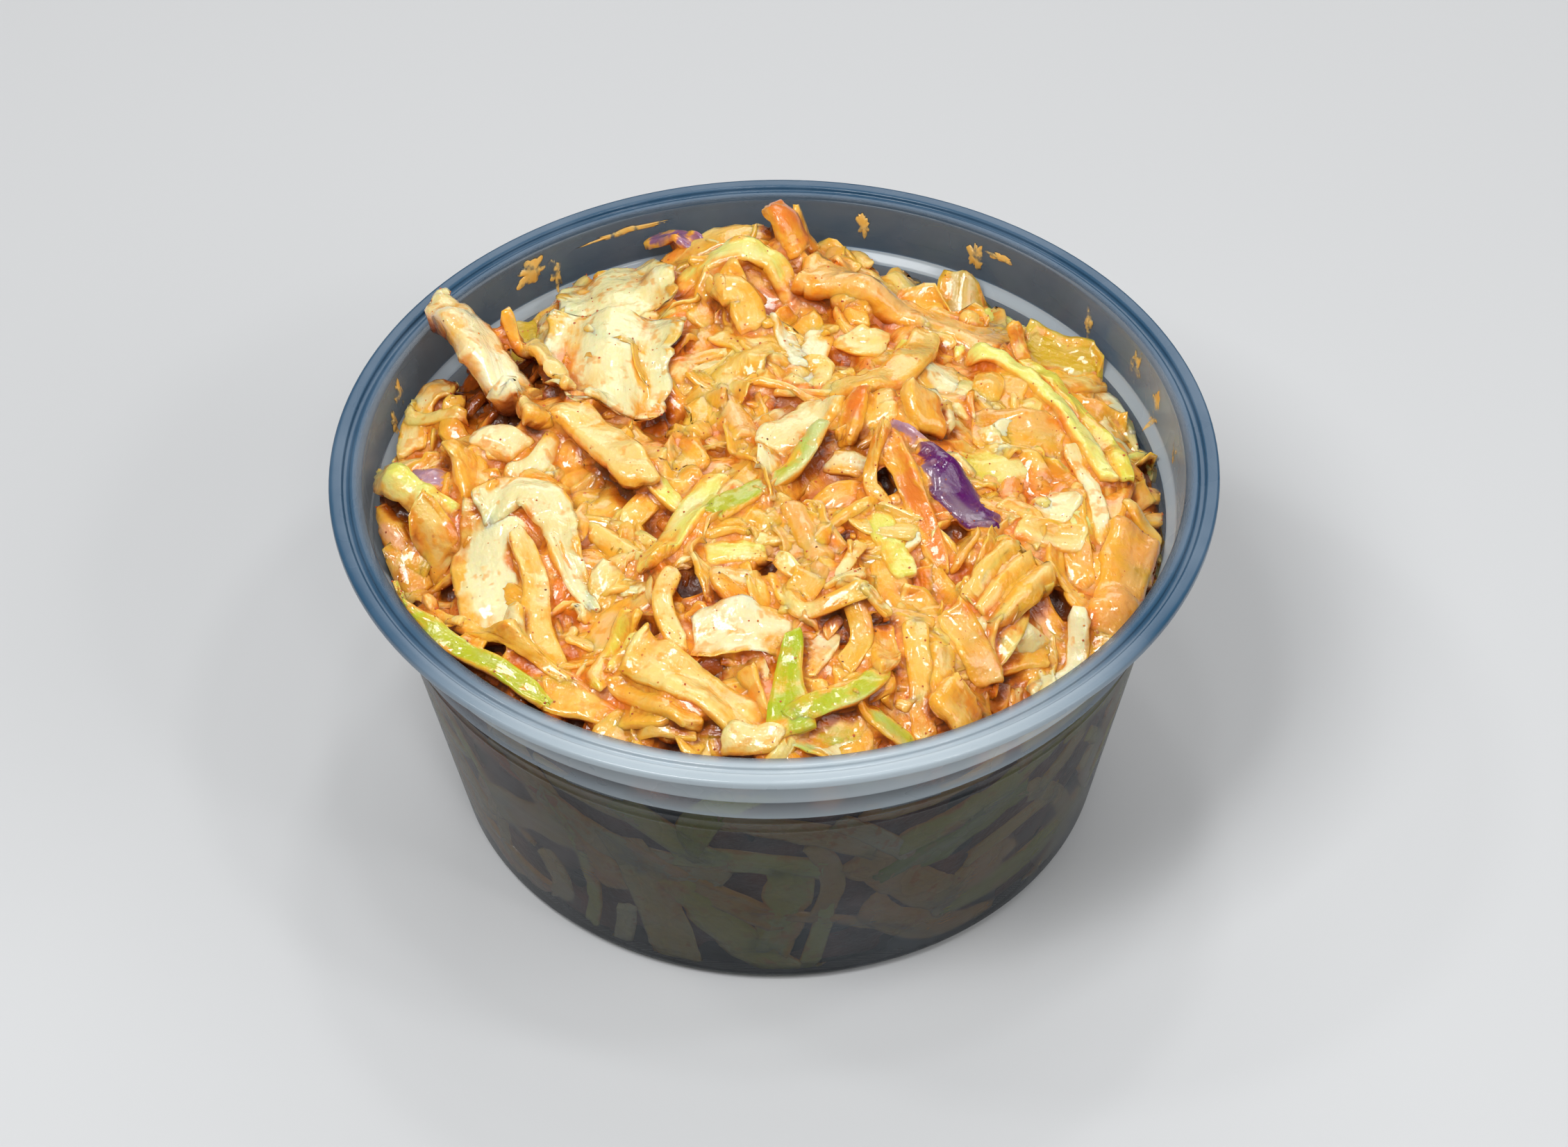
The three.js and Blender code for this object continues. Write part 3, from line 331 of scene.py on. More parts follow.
# Finer shreds between them: in the bed under the placed ones, in the gaps that
# these leave, and against the wall.
BED = {
    "seed": 31,
    "length": (7, 17),
    "width": (2.4, 7.4),
    "thick": (0.8, 1.7),
    "lift": (-0.4, 2.4),
    "bow": 0.35,
    "roll": 50,
    "ring_gap": 0.85,
}
GAPS = {
    "seed": 57,
    "length": (6.5, 14),
    "width": (1.8, 5),
    "thick": (0.8, 1.4),
    "lift": (-0.3, 1.4),
    "bow": 0.5,
    "roll": 50,
    "tries": 1500,
    "least_dip": 0.7,
    "ring_gap": 0.7,
}
CURLS = {
    "seed": 23,
    "length": (9, 18),
    "width": (1.5, 2.6),
    "thick": (1, 1.5),
    "lift": (-0.3, 1.2),
    "bow": 0.8,
    "roll": 40,
    "tries": 1500,
    "least_dip": 0.6,
    "ring_gap": 0.6,
}
TOPS = {
    "seed": 88,
    "length": (4, 10),
    "width": (2, 5),
    "thick": (0.9, 1.6),
    "lift": (-0.5, 0.7),
    "bow": 0.5,
    "roll": 22,
    "tries": 240,
    "least_dip": -0.4,
    "ring_gap": 0.7,
}
WALL_SHREDS = {
    "seed": 417,
    "length": (12, 34),
    "width": (2.2, 8),
    "thick": (1.2, 2),
    "lift": (0, 0),
    "bow": 0.3,
    "roll": 0,
    "ring_gap": 1.5,
}

# How often each kind comes among the finer shreds.
BED_KINDS = {"peach": 34, "apricot": 16, "cream": 30, "white": 15, "lime": 4, "carrot": 3}
WALL_KINDS = {"peach": 20, "cream": 24, "white": 18, "lime": 20, "green": 10, "carrot": 4, "red": 4}

# The flesh of each kind, from one tone to another, and how much dressing it wears.
KINDS = {
    "white": {"tones": ("f7e8ba", "f0da9a"), "coat": 0.2},
    "leaf": {"tones": ("f6ecc0", "f1e2a0"), "coat": 0.2},
    "cream": {"tones": ("f7da8c", "f0c868"), "coat": 0.4},
    "peach": {"tones": ("f7ce76", "f0ba56"), "coat": 0.6},
    "apricot": {"tones": ("fabe70", "f0a650"), "coat": 0.55},
    "yellow": {"tones": ("efdc62", "e8cc44"), "coat": 0.45},
    "lime": {"tones": ("ebe67c", "e2da58"), "coat": 0.36},
    "green": {"tones": ("d6d03e", "a8b81c"), "coat": 0.32},
    "olive": {"tones": ("d6b42c", "bc9214"), "coat": -0.4},
    "carrot": {"tones": ("f2923e", "ea7c22"), "coat": 0.42},
    "red": {"tones": ("621066", "3e0a4a"), "coat": -0.1},
    "mauve": {"tones": ("b08a9c", "8c5e84"), "coat": 0.15},
}

# The pieces of the scene, and the kinds of shred in each.
GROUPS = {
    "pale_cabbage": ("white", "leaf", "cream"),
    "dressed_cabbage": ("peach", "apricot"),
    "green_cabbage": ("yellow", "lime", "green", "olive"),
    "carrot_strips": ("carrot",),
    "red_cabbage": ("red", "mauve"),
}

# --------------------------------------------------------------- the tub's form


def inner_profile():
    """The inside of the tub's wall from the mouth down to the floor: radius, height."""
    corner = 2 * BASE_CORNER
    return [
        (MOUTH_RADIUS, TUB_HEIGHT - RIM_DEPTH),
        (LEDGE_OUTER_RADIUS, LEDGE_HEIGHT + LEDGE_SLOPE),
        (LEDGE_INNER_RADIUS, LEDGE_HEIGHT - LEDGE_SLOPE),
        (NECK_RADIUS - WALL, BAND_BOTTOM),
        (BASE_RADIUS - WALL + corner * 0.2, FLOOR + corner),
        (BASE_RADIUS - WALL - corner * 0.2, FLOOR + corner * 0.3),
        (BASE_RADIUS - WALL - corner, FLOOR),
    ]


def room_profile():
    """The inner profile without the ledge's outer point, from the floor up."""
    return [point for point in reversed(inner_profile()) if point[0] != LEDGE_OUTER_RADIUS]


def room_at(z):
    """The largest radius that the heap may have at heights z, numbers or an array."""
    profile = room_profile()
    inside = np.interp(z, [p[1] for p in profile], [p[0] for p in profile]) - CLEARANCE
    over_rim = np.maximum(0, z - TUB_HEIGHT - CLEARANCE)
    leaning = np.minimum(RIM_RADIUS, inside + over_rim)
    return np.where(over_rim > 0, leaning, inside)


def keep_inside(points, reach=0):
    """Moves points in to within reach of the heap's room, and up from the floor."""
    points = points.copy()
    points[:, 2] = np.maximum(points[:, 2], FLOOR + CLEARANCE)
    radius = np.hypot(points[:, 0], points[:, 1])
    share = np.minimum(1, (room_at(points[:, 2]) + reach) / np.maximum(radius, TINY))
    points[:, :2] *= share[:, None]
    return points


# ------------------------------------------------------------ the heap's layout


def heap_height(x, y):
    """The mean top of the heap."""
    share = np.minimum(1, np.hypot(x, y) / MOUTH_RADIUS)
    height = HEAP_EDGE + (HEAP_MIDDLE - HEAP_EDGE) * (1 - share * share) ** HEAP_FULLNESS
    for swell_x, swell_y, rise, spread in SWELLS:
        distance = np.hypot(x - swell_x, y - swell_y) / spread
        height = height + rise * np.exp(-distance * distance)
    return height


def hole_depth(x, y):
    """How far the open holes go down at a place."""
    depth = 0
    for hole_x, hole_y, radius in HOLES:
        distance = np.hypot(x - hole_x, y - hole_y) / radius
        depth = np.maximum(depth, HOLE_DEPTH * np.exp(-distance * distance))
    return depth


def core_height(x, y):
    """The top of the core, on which the shreds are laid."""
    return heap_height(x, y) - CORE_DEPTH - hole_depth(x, y)


def seeded(seed):
    """Random numbers from 0 to 1 by the mulberry32 rule."""
    mask = 0xFFFFFFFF
    state = seed

    def draw():
        nonlocal state
        state = (state + 0x6D2B79F5) & mask
        mixed = ((state ^ (state >> 15)) * (1 | state)) & mask
        mixed = ((mixed + (((mixed ^ (mixed >> 7)) * (61 | mixed)) & mask)) & mask) ^ mixed
        return (mixed ^ (mixed >> 14)) / (mask + 1)

    return draw


def half_up(value):
    return math.floor(value + 0.5)


class Field:
    """The height of what has been laid so far, on a square grid."""

    def __init__(self):
        self.half = math.ceil(MOUTH_RADIUS / FIELD_CELL)
        self.side = 2 * self.half + 1
        line = (np.arange(self.side) - self.half) * FIELD_CELL
        x, y = np.meshgrid(line, line)
        self.heights = core_height(x, y)

    def cell(self, x, y):
        column = half_up(x / FIELD_CELL) + self.half
        row = half_up(y / FIELD_CELL) + self.half
        limit = self.side - 1
        return min(limit, max(0, row)), min(limit, max(0, column))

    def at(self, x, y):
        return self.heights[self.cell(x, y)]

    def raise_to(self, x, y, z):
        cell = self.cell(x, y)
        self.heights[cell] = max(self.heights[cell], z)


def along_path(path, t):
    """A point at t, from 0 to 1, on a smooth line through the path's points."""
    last = len(path) - 1
    index = min(last - 1, math.floor(t * last))
    u = t * last - index
    points = [path[max(0, index - 1)], path[index], path[index + 1], path[min(last, index + 2)]]
    place = []
    for before, start, stop, after in zip(*points):
        leave = (stop - before) / 2
        arrive = (after - start) / 2
        gap = stop - start
        bend = 3 * gap - 2 * leave - arrive + u * (leave + arrive - 2 * gap)
        place.append(start + u * (leave + u * bend))
    return place


def path_length(path):
    return sum(math.dist(a[:2], b[:2]) for a, b in zip(path, path[1:]))


def half_width(piece, t):
    """Half the piece's width at t, narrowed at its tips."""
    middle = 1 - abs(2 * t - 1)
    end = piece["start_width"] if t < 0.5 else piece["end_width"]
    wide = end + (piece["width"] - end) * middle
    return wide / 2 * min(1, piece["tip"] + 4 * middle * (1 - piece["tip"]))


def plan_rows(piece):
    """Rows of x, y across the piece, seen from above, and the lift of each row."""
    steps = max(4, half_up(path_length(piece["path"]) / LAYING_STEP))
    columns = max(2, 2 * half_up(piece["width"] / LAYING_STEP / 2), 4 * piece["folds"])
    flatness = math.cos(math.radians(piece["roll"]))
    rows = []
    lifts = []
    for i in range(steps + 1):
        t = i / steps
        x, y, lift = along_path(piece["path"], t)
        ahead = along_path(piece["path"], min(1, t + HEADING_STEP))
        behind = along_path(piece["path"], max(0, t - HEADING_STEP))
        length = math.dist(ahead[:2], behind[:2])
        side_x = (behind[1] - ahead[1]) / length
        side_y = (ahead[0] - behind[0]) / length
        half = half_width(piece, t) * flatness
        reaches = [half * (2 * j / columns - 1) for j in range(columns + 1)]
        rows.append([(x + side_x * reach, y + side_y * reach) for reach in reaches])
        lifts.append(lift)
    return rows, lifts


def neighbours(heights):
    """The four grids that hold each cell's neighbours, with the edges repeated."""
    wide = np.pad(heights, 1, mode="edge")
    return wide[2:, 1:-1], wide[:-2, 1:-1], wide[1:-1, 2:], wide[1:-1, :-2]


def eased(heights, below):
    """Heights evened out along and across as a stiff piece does, and not sunk far."""
    return np.maximum((2 * heights + sum(neighbours(heights))) / 6, below - PRESS)


def lay_piece(piece, field):
    """The piece's middle surface as rows of points across it, laid on the field."""
    plan, lifts = plan_rows(piece)
    below = np.array([[field.at(x, y) for x, y in row] for row in plan])
    rests = below
    for _ in range(STIFF_PASSES if piece["width"] > STIFF_WIDTH else EASING_PASSES):
        rests = eased(rests, below)
    across = np.linspace(-1, 1, below.shape[1])
    rise = math.sin(math.radians(piece["roll"])) * across * piece["width"] / 2
    pleats = piece["fold_height"] * np.cos(across * piece["folds"] * math.pi)
    half = piece["thick"] / 2
    z = rests + np.array(lifts)[:, None] + half + pleats + rise
    z -= max(0, (z - half - below).min() + BITE)
    rows = keep_inside(np.dstack([np.array(plan), z]).reshape(-1, 3))
    for x, y, height in rows:
        field.raise_to(x, y, height + half)
    return rows.reshape(z.shape + (3,))


def spiral_spot(index, count, reach):
    """One of count places on a sunflower spiral that covers a disc as wide as reach."""
    radius = reach * math.sqrt((index + 0.5) / count)
    angle = index * GOLDEN_ANGLE
    return radius * math.cos(angle), radius * math.sin(angle)


def strewn_pieces():
    """Shreds spread evenly over the heap on the spiral, none in a hole."""
    draw = seeded(STREWN["seed"])

    def between(limits):
        return limits[0] + (limits[1] - limits[0]) * draw()

    pieces = []
    for i in range(STREWN["count"]):
        x, y = spiral_spot(i, STREWN["count"], MOUTH_RADIUS - STREWN_MARGIN)
        heading = 2 * math.pi * draw()
        half = between(STREWN["length"]) / 2
        bow = half * (draw() - 0.5) * STREWN["bow"]
        width = between(STREWN["width"])
        thick = between(STREWN["thick"])
        lift = STREWN["lift"] * draw() ** 2
        ahead_x = math.cos(heading) * half
        ahead_y = math.sin(heading) * half
        if hole_depth(x, y) > STREWN["deepest_hole"]:
            continue
        path = (
            (x - ahead_x, y - ahead_y, 0),
            (x - ahead_y * bow / half, y + ahead_x * bow / half, 0),
            (x + ahead_x, y + ahead_y, lift),
        )
        pieces.append(laid("strewn", "peach", width, thick, *path))
    return pieces


# -------------------------------------------------- details, lights and camera

RIM_LIP = 1.8
LUG_INSET = 0.15
LUG_STEPS = 6
LUG_ROUND = 0.25
RIDGE_HEIGHTS = (36.5, 38.5)
RIDGE_WIDTH = 0.4
RIDGE_DEPTH = 0.18
LUG_SHARP_ANGLE = 1
OUTLINE_SOFTNESS = 0.45
# A rounded corner takes up at most this share of an edge, and has these points.
MOST_ROUNDED = 0.45
CORNER_POINTS = (0, 0.25, 0.5, 0.75, 1)
# How far past its sharp edge a rounded part of the tub is still looked for.
SLACK = 0.2
FINE_SLACK = 0.1
# The foot of the band under the rim, and how cloudy and pale the plastic is by place; the palest, on
# the ledge and on the right of the inner wall, is painted highlight and painted reflection.
RIM_FROM = 0.4
RIM_OVER = 0.8
BAND_LEAD = 1
BAND_OVER = 2
BAND_SKIN = 0.6
BAND_FOOT = 4.6
BAND_LEAN = (BAND_TOP_RADIUS - BAND_RADIUS) / (TUB_HEIGHT - RIM_DEPTH - BAND_BOTTOM)
FOOT_HAZE = 0.8
FOOT_FROST = 0.9
BAND_FROST = 0.45
BACK_FROM = 5
BACK_OVER = 25
BACK_HAZE = 0.8
BACK_FROST = 0.45
# Painted reflection: the right of the inner wall is made paler than the rim.
RIGHT_FROM = 35
RIGHT_OVER = 18
RIGHT_HAZE = 0.7
RIGHT_REFLECTION = 1.5
# Painted highlight: the ledge is made paler than the rim.
LEDGE_HAZE = 0.8
LEDGE_HIGHLIGHT = 1.6

CORE_REACH = 0.62
CORE_SIDE_TOP = BAND_BOTTOM + 2
CORE_LEVELS = 20
CORE_RINGS = 42
CORE_STEPS = 160
CORE_SEED = 3
POCKET_DEPTH = 0.3
CRUMPLE = 0.7
CRUMPLE_SIZE = 6
POCKET_SIZE = 11
POCKET_FROM = 0.35
# Where a shred comes up out of the dressing its coat is thicker by JUNCTION_COAT,
# and this fades out at JUNCTION times the recess above the dressing.
JUNCTION = 0.9
JUNCTION_COAT = 0.8
# How far a shred by the wall reaches into it, so that no gap shows.
WALL_REACH = 0.7
# The share of the dressing's faces that is kept.
DRESSING_SHARE = 0.6
# Patches where the dressing wells up, and the coat up to which a shred stays bare.
WELLING_SEED = 8
WELLING_STRIDE = 3
WELLING_FROM = 0.12
WELLING_OVER = 0.45
WELLING_SIZES = ((0.6, 8), (0.4, 3.4))
WELLING_MARGIN = 1
WELLING_RISE = 2
BARE_COAT = 0.45

SPECK_SIZE = (0.07, 0.2)
SPECK_TONES = ("cc5a20", "e08430", "b4481a", "7a3a16")
SPECK_SHARES = (6, 5, 2, 1)
SPECK_SIZE_STEPS = (0.6, 1, 1)
SPECK_STRETCH = (0.6, 1.2)
# How far below the tops a speck may lie.
SPECK_DEPTH = 0.3

SMEAR_SEED = 5
SMEAR_SUBDIVISIONS = 4
SMEAR_GAP = 0.1
# How strong the waves round a smear's outline are, and how many of them.
SMEAR_RAGS = ((0.4, 1.1), (0.3, 2.9))
# Smears on the wall: angle, height, half width round, half height, thickness.
SMEARS = (
    (128, 50.5, 2.6, 1.8, 0.35),
    (124, 48.6, 0.9, 2.4, 0.4),
    (112, 51.2, 5.5, 0.5, 0.25),
    (160, 49.5, 1.0, 2.2, 0.4),
    (163, 47.2, 0.9, 1.6, 0.35),
    (76, 50, 0.9, 1.8, 0.4),
    (58, 49.5, 1.1, 2.2, 0.35),
    (54, 50.8, 1.8, 0.7, 0.3),
    (36, 49, 0.8, 2.2, 0.4),
    (24, 49.5, 1.2, 2.6, 0.3),
    (16, 48, 1.6, 2.6, 0.25),
    (6, 49, 1, 2, 0.25),
)

# How strongly the veins and the stains of each group show, and how wet it looks.
GROUP_FINISH = {
    "pale_cabbage": {"veins": 0.6, "stains": 0.6, "wet": 0.9},
    "dressed_cabbage": {"veins": 0.35, "stains": 0.7, "wet": 1},
    "green_cabbage": {"veins": 0.7, "stains": 0.25, "wet": 0.9},
    "carrot_strips": {"veins": 0.5, "stains": 0.3, "wet": 0.9},
    "red_cabbage": {"veins": 0.35, "stains": 0.1, "wet": 1},
}

CAMERA_PLACE = (0, -0.4559, 0.4720)
CAMERA_PITCH = 43.94
CAMERA_YAW = 0.14
CAMERA_ROLL = -0.82
CAMERA_LENS = 108.1
CAMERA_SENSOR = 36

HEAP_CENTRE = (0, 0, 0.045)
FLOOR_RADIUS = 3
FLOOR_SEGMENTS = 96
VIEW_TRANSFORM = "Standard"
# Each light's name, place in metres, size, and share of the key light's power.
SOFTBOXES = (
    ("key", (-0.3, -0.35, 0.8), (0.3, 0.3), 1),
    ("fill", (0.6, -0.3, 0.5), (0.5, 0.5), 0.42),
    ("back", (0.1, 0.65, 0.55), (0.6, 0.3), 0.34),
    ("glint_left", (-0.16, -0.3, 0.9), (0.09, 0.09), 0.16),
    ("glint_far_left", (-0.5, 0.05, 0.75), (0.09, 0.09), 0.14),
    ("glint_right", (0.3, -0.12, 0.85), (0.09, 0.09), 0.14),
    ("glint_far_right", (0.45, -0.5, 0.7), (0.09, 0.09), 0.12),
    ("glint_back", (0.05, 0.35, 0.85), (0.09, 0.09), 0.14),
    ("glint_front", (0.08, -0.6, 0.7), (0.09, 0.09), 0.12),
    ("glint_over", (0.02, -0.02, 1), (0.09, 0.09), 0.12),
)


# ------------------------------------------------------- meshes and attributes

ATTRIBUTE_FIELD = {"FLOAT": "value", "FLOAT_VECTOR": "vector", "FLOAT_COLOR": "color"}


def mesh_from(bm, name):
    """A mesh with what the bmesh holds, which is then freed."""
    mesh = bpy.data.meshes.new(name)
    bm.to_mesh(mesh)
    bm.free()
    return mesh


def joined(name, meshes):
    """One mesh of all the meshes."""
    bm = bmesh.new()
    for mesh in meshes:
        bm.from_mesh(mesh)
    return mesh_from(bm, name)


def unit_ball(subdivisions):
    """A ball of radius 1."""
    bm = bmesh.new()
    bmesh.ops.create_icosphere(bm, subdivisions=subdivisions, radius=1)
    return mesh_from(bm, "ball")


def coordinates(mesh):
    """The mesh's vertices as rows of x, y, z in metres."""
    flat = np.empty(len(mesh.vertices) * 3)
    mesh.vertices.foreach_get("co", flat)
    return flat.reshape(-1, 3)


def move_to(mesh, points):
    """Moves the mesh's vertices to points that are in millimetres."""
    mesh.vertices.foreach_set("co", (points * MM).ravel())


def write_attribute(mesh, name, kind, values):
    """Gives each vertex a value that the finish can read."""
    attribute = mesh.attributes.new(name, kind, "POINT")
    flat = np.ascontiguousarray(values, dtype=np.float32).ravel()
    attribute.data.foreach_set(ATTRIBUTE_FIELD[kind], flat)


def linked(name, data):
    """An object in the scene at the origin."""
    thing = bpy.data.objects.new(name, data)
    bpy.context.scene.collection.objects.link(thing)
    return thing


# ------------------------------------------------- shreds on a laid surface

# A shred is a sleeve, rings along it and points round it, wrapped about its rows.
POINT_GAP = 0.7
LEAST_RINGS = 10
LEAST_SIDES = 14
END_CROWDING = 0.5
END_MARGIN = 0.6
CAP_INSET = 0.45
LEAF_WIDTH = 7
WIDEST_CURL = 9
PLEAT_SIDES = 14
PLEAT_COAT = 0.45
UNDERSIDE_COAT = 0.25
EDGE_COAT = 0.4
EDGE_COAT_FROM = 0.4
# How far a sleeve's points stand evenly across it, and how far they crowd at its edges.
EVEN_SHARE = 0.55
CROWDED_SHARE = 0.45
DEEPEST_CUT = 0.3
LEAST_MARGIN = 0.3
NORMAL_STEP = 0.03
LEAST_NORMAL = 1e-9
# The ends are rounded down by this share, over this many times the thickness.
END_DEPTH = 0.8
END_ROUND = 0.7
# A curl holds steady in part and changes along the shred in part. It lifts the
# edges by a power of the place across, and lowers the middle by an offset.
CURL_STEADY = 0.7
CURL_CHANGE = 0.6
CURL_POWER = 2.5
CURL_OFFSET = 0.2
# Waves to the millimetre along a shred: of its edges, its curl and its frill.
WAVER_CYCLES = 0.2
CURL_CYCLES = 0.15
FRILL_CYCLES = 0.45
# How strongly the middle and the skin of a shred swell, and how far apart, in mm.
LUMP_SHARE = 0.14
LUMP_SIZE = 4.5
CLOTS = ((0.1, 3), (0.06, 1.5))

# How a shred and a leaf are cut, torn and curled, in shares of their width or in mm.
SHRED_FORM = {
    "squareness": 4.2,
    "slant": 0.7,
    "torn_end": 0.35,
    "waver": 0.16,
    "torn_edge": 0.1,
    "tear": 0.8,
    "heavy_side": 0.35,
    "thinning": 0.25,
    "lean": 0.2,
    "curl": (-0.2, 0.42),
    "frill": 0.25,
}
LEAF_FORM = {
    "squareness": 2.6,
    "slant": 0.35,
    "torn_end": 0.5,
    "waver": 0.16,
    "torn_edge": 0.08,
    "tear": 0.33,
    "heavy_side": 0.3,
    "thinning": 0.5,
    "lean": 0.05,
    "curl": (-0.12, 0.42),
    "frill": 0.4,
}


def blank_sleeve(rings, sides):
    """A closed tube round Z, from 0 to 1 along it, with poked caps."""
    name = f"blank_{rings}_{sides}"
    if name in bpy.data.meshes:
        return bpy.data.meshes[name]
    bm = bmesh.new()
    bmesh.ops.create_cone(
        bm,
        cap_ends=True,
        segments=sides,
        radius1=1,
        radius2=1,
        depth=1,
        matrix=Matrix.Translation((0, 0, 0.5)),
    )
    long_edges = [edge for edge in bm.edges if edge.verts[0].co.z != edge.verts[1].co.z]
    bmesh.ops.subdivide_edges(bm, edges=long_edges, cuts=rings - 1)
    caps = [face for face in bm.faces if len(face.verts) == sides]
    bmesh.ops.inset_individual(bm, faces=caps, thickness=CAP_INSET)
    bmesh.ops.poke(bm, faces=caps)
    return mesh_from(bm, name)


def spline_weights(u):
    """The shares of the four rows around u in a smooth line through them."""
    square = u * u
    cube = square * u
    return np.stack(
        [
            (2 * square - u - cube) / 2,
            (2 - 5 * square + 3 * cube) / 2,
            (u + 4 * square - 3 * cube) / 2,
            (cube - square) / 2,
        ],
        axis=-1,
    )


def sample_rows(rows, along, across):
    """Points of the smooth surface through the rows; along 0 to 1, across -1 to 1."""
    last_row = rows.shape[0] - 1
    last_column = rows.shape[1] - 1
    a = np.clip(along, 0, 1) * last_row
    b = (np.clip(across, -1, 1) + 1) / 2 * last_column
    i = np.minimum(a.astype(int), last_row - 1)
    j = np.minimum(b.astype(int), last_column - 1)
    four = np.arange(-1, 3)
    near_rows = np.clip(i[:, None] + four, 0, last_row)
    near_columns = np.clip(j[:, None] + four, 0, last_column)
    grid = rows[near_rows[:, :, None], near_columns[:, None, :]]
    return np.einsum("na,nb,nabk->nk", spline_weights(a - i), spline_weights(b - j), grid)


def surface_normals(rows, along, across):
    """Unit normals of the smooth surface through the rows."""
    ahead = sample_rows(rows, along + NORMAL_STEP, across)
    behind = sample_rows(rows, along - NORMAL_STEP, across)
    one_side = sample_rows(rows, along, across + NORMAL_STEP)
    other_side = sample_rows(rows, along, across - NORMAL_STEP)
    normals = np.cross(ahead - behind, one_side - other_side)
    return normals / np.maximum(np.linalg.norm(normals, axis=1), LEAST_NORMAL)[:, None]


# The sum of the waves is divided so that it seldom passes 1.
LINE_WAVES = 3
LINE_WAVE_STEP = 2.1
LINE_WAVE_SUM = 1.8
SPACE_WAVES = 7
SPACE_WAVE_STRETCH = (0.7, 1.5)
SPACE_WAVE_SUM = 3.2
PHASES = (0, 6.3)


def waves(value, cycles, chance):
    """Smooth noise from -1 to 1 along a line, from a few sines of random phase."""
    total = np.zeros_like(value)
    for k in range(1, LINE_WAVES + 1):
        total += np.sin(value * cycles * k * LINE_WAVE_STEP + chance.uniform(*PHASES)) / k
    return total / LINE_WAVE_SUM


def lumps(points, wavelength, chance):
    """Smooth noise from -1 to 1 in space, from a few crossing plane waves."""
    total = np.zeros(len(points))
    for _ in range(SPACE_WAVES):
        direction = np.array([chance.gauss(0, 1) for _ in range(3)])
        direction /= np.linalg.norm(direction)
        stretch = chance.uniform(*SPACE_WAVE_STRETCH)
        phase = chance.uniform(*PHASES)
        total += np.sin(points @ direction * (2 * math.pi / wavelength * stretch) + phase)
    return total / SPACE_WAVE_SUM


def sleeve_section(blank, squareness):
    """Each point's place in a sleeve: -1 to 1 across and up, and 0 to 1 along."""
    x, y, z = coordinates(blank).T
    out = np.hypot(x, y)
    angle = np.arctan2(y, x)
    straight = 1 - 2 * np.abs(angle) / math.pi
    across = (CROWDED_SHARE * np.cos(angle) + EVEN_SHARE * straight) * out
    level = (1 - np.abs(across / np.maximum(out, TINY)) ** squareness) ** (1 / squareness)
    return across, np.where(angle < 0, -level, level) * out, z


def torn_ends(form, length, reach_across, chance):
    """How far each end is cut aslant and torn back, as shares of the length."""
    slant = chance.uniform(-1, 1) * form["slant"]
    ends = []
    for slope in (slant, -slant):
        torn = form["torn_end"] * waves(reach_across, form["tear"], chance)
        cut = (END_MARGIN + slope * reach_across + torn) / length
        ends.append(np.clip(cut, 0, DEEPEST_CUT))
    return ends


def plumpness(piece, form, end_distance, across, centre, chance):
    """Half the shred's thickness, less at its ends and edges, and lumpy."""
    thick = piece["thick"]
    blunt = 1 - np.clip(end_distance / (END_ROUND * thick), 0, 1)
    rounding = np.sqrt(1 - END_DEPTH * blunt**2)
    heavy_side = 1 + form["heavy_side"] * chance.uniform(-1, 1) * across
    thinning = (1 - form["thinning"] * np.abs(across) ** 3) * heavy_side
    lumpy = 1 + LUMP_SHARE * lumps(centre, LUMP_SIZE, chance)
    return thick / 2 * rounding * thinning * lumpy


def lean_and_curl(form, width, along, across, distance, chance):
    """How far the shred leans over to a side, and how far its edges curl."""
    half = min(width, WIDEST_CURL) / 2
    lean = chance.uniform(-1, 1) + chance.uniform(-1, 1) * (2 * along - 1)
    curl = np.where(across < 0, chance.uniform(*form["curl"]), chance.uniform(*form["curl"]))
    curl = curl * (CURL_STEADY + CURL_CHANGE * waves(distance, CURL_CYCLES, chance)) * half
    curl = curl * (np.abs(across) ** CURL_POWER - CURL_OFFSET)
    return form["lean"] * lean * across * half, curl


def wrapped_shred(piece, rows, chance, reach=0):
    """A shred's blank, its points about the laid rows, and what the finish reads of them."""
    length = np.linalg.norm(np.diff(rows[:, rows.shape[1] // 2], axis=0), axis=1).sum()
    width = piece["width"]
    form = LEAF_FORM if width > LEAF_WIDTH or piece["folds"] > 0 else SHRED_FORM
    rings = max(LEAST_RINGS, int(length / piece["ring_gap"]))
    sides = max(LEAST_SIDES, 2 * int(width / POINT_GAP), PLEAT_SIDES * piece["folds"])
    blank = blank_sleeve(rings, sides)
    across, level, z = sleeve_section(blank, form["squareness"])
    edge = np.abs(across)
    reach_across = across * width / 2
    along = z - np.sin(2 * math.pi * z) * END_CROWDING / (2 * math.pi)
    distance = along * length
    front, back = torn_ends(form, length, reach_across, chance)
    along = front + along * (1 - front - back)

    def by_side(cycles):
        one, other = waves(distance, cycles, chance), waves(distance, cycles, chance)
        return np.where(across < 0, one, other)

    margin = 1 - form["waver"] * (0.5 + 0.5 * by_side(WAVER_CYCLES))
    margin -= form["torn_edge"] * np.maximum(0, by_side(form["tear"])) ** 2
    centre = sample_rows(rows, along, across * np.clip(margin, LEAST_MARGIN, 1))
    end_distance = np.minimum(z, 1 - z) * length
    plump = plumpness(piece, form, end_distance, across, centre, chance)
    lean, curl = lean_and_curl(form, width, along, across, distance, chance)
    frill = form["frill"] * edge**2 * by_side(FRILL_CYCLES)
    clots = sum(share * lumps(centre, size, chance) for share, size in CLOTS)
    offset = plump * level + lean + curl + frill + clots
    normal = surface_normals(rows, along, across)
    points = keep_inside(centre + normal * offset[:, None], reach)

    pleats = np.cos(across * piece["folds"] * math.pi) if piece["folds"] else 0
    hollow = np.maximum(0, -level) * UNDERSIDE_COAT
    hollow = hollow - pleats * PLEAT_COAT * min(1, piece["fold_height"])
    hollow += EDGE_COAT * (edge**2 - EDGE_COAT_FROM)
    shift = chance.uniform(0, 80)
    grain = np.stack([distance + shift, reach_across, level + shift], axis=1)
    return blank, points, grain, hollow


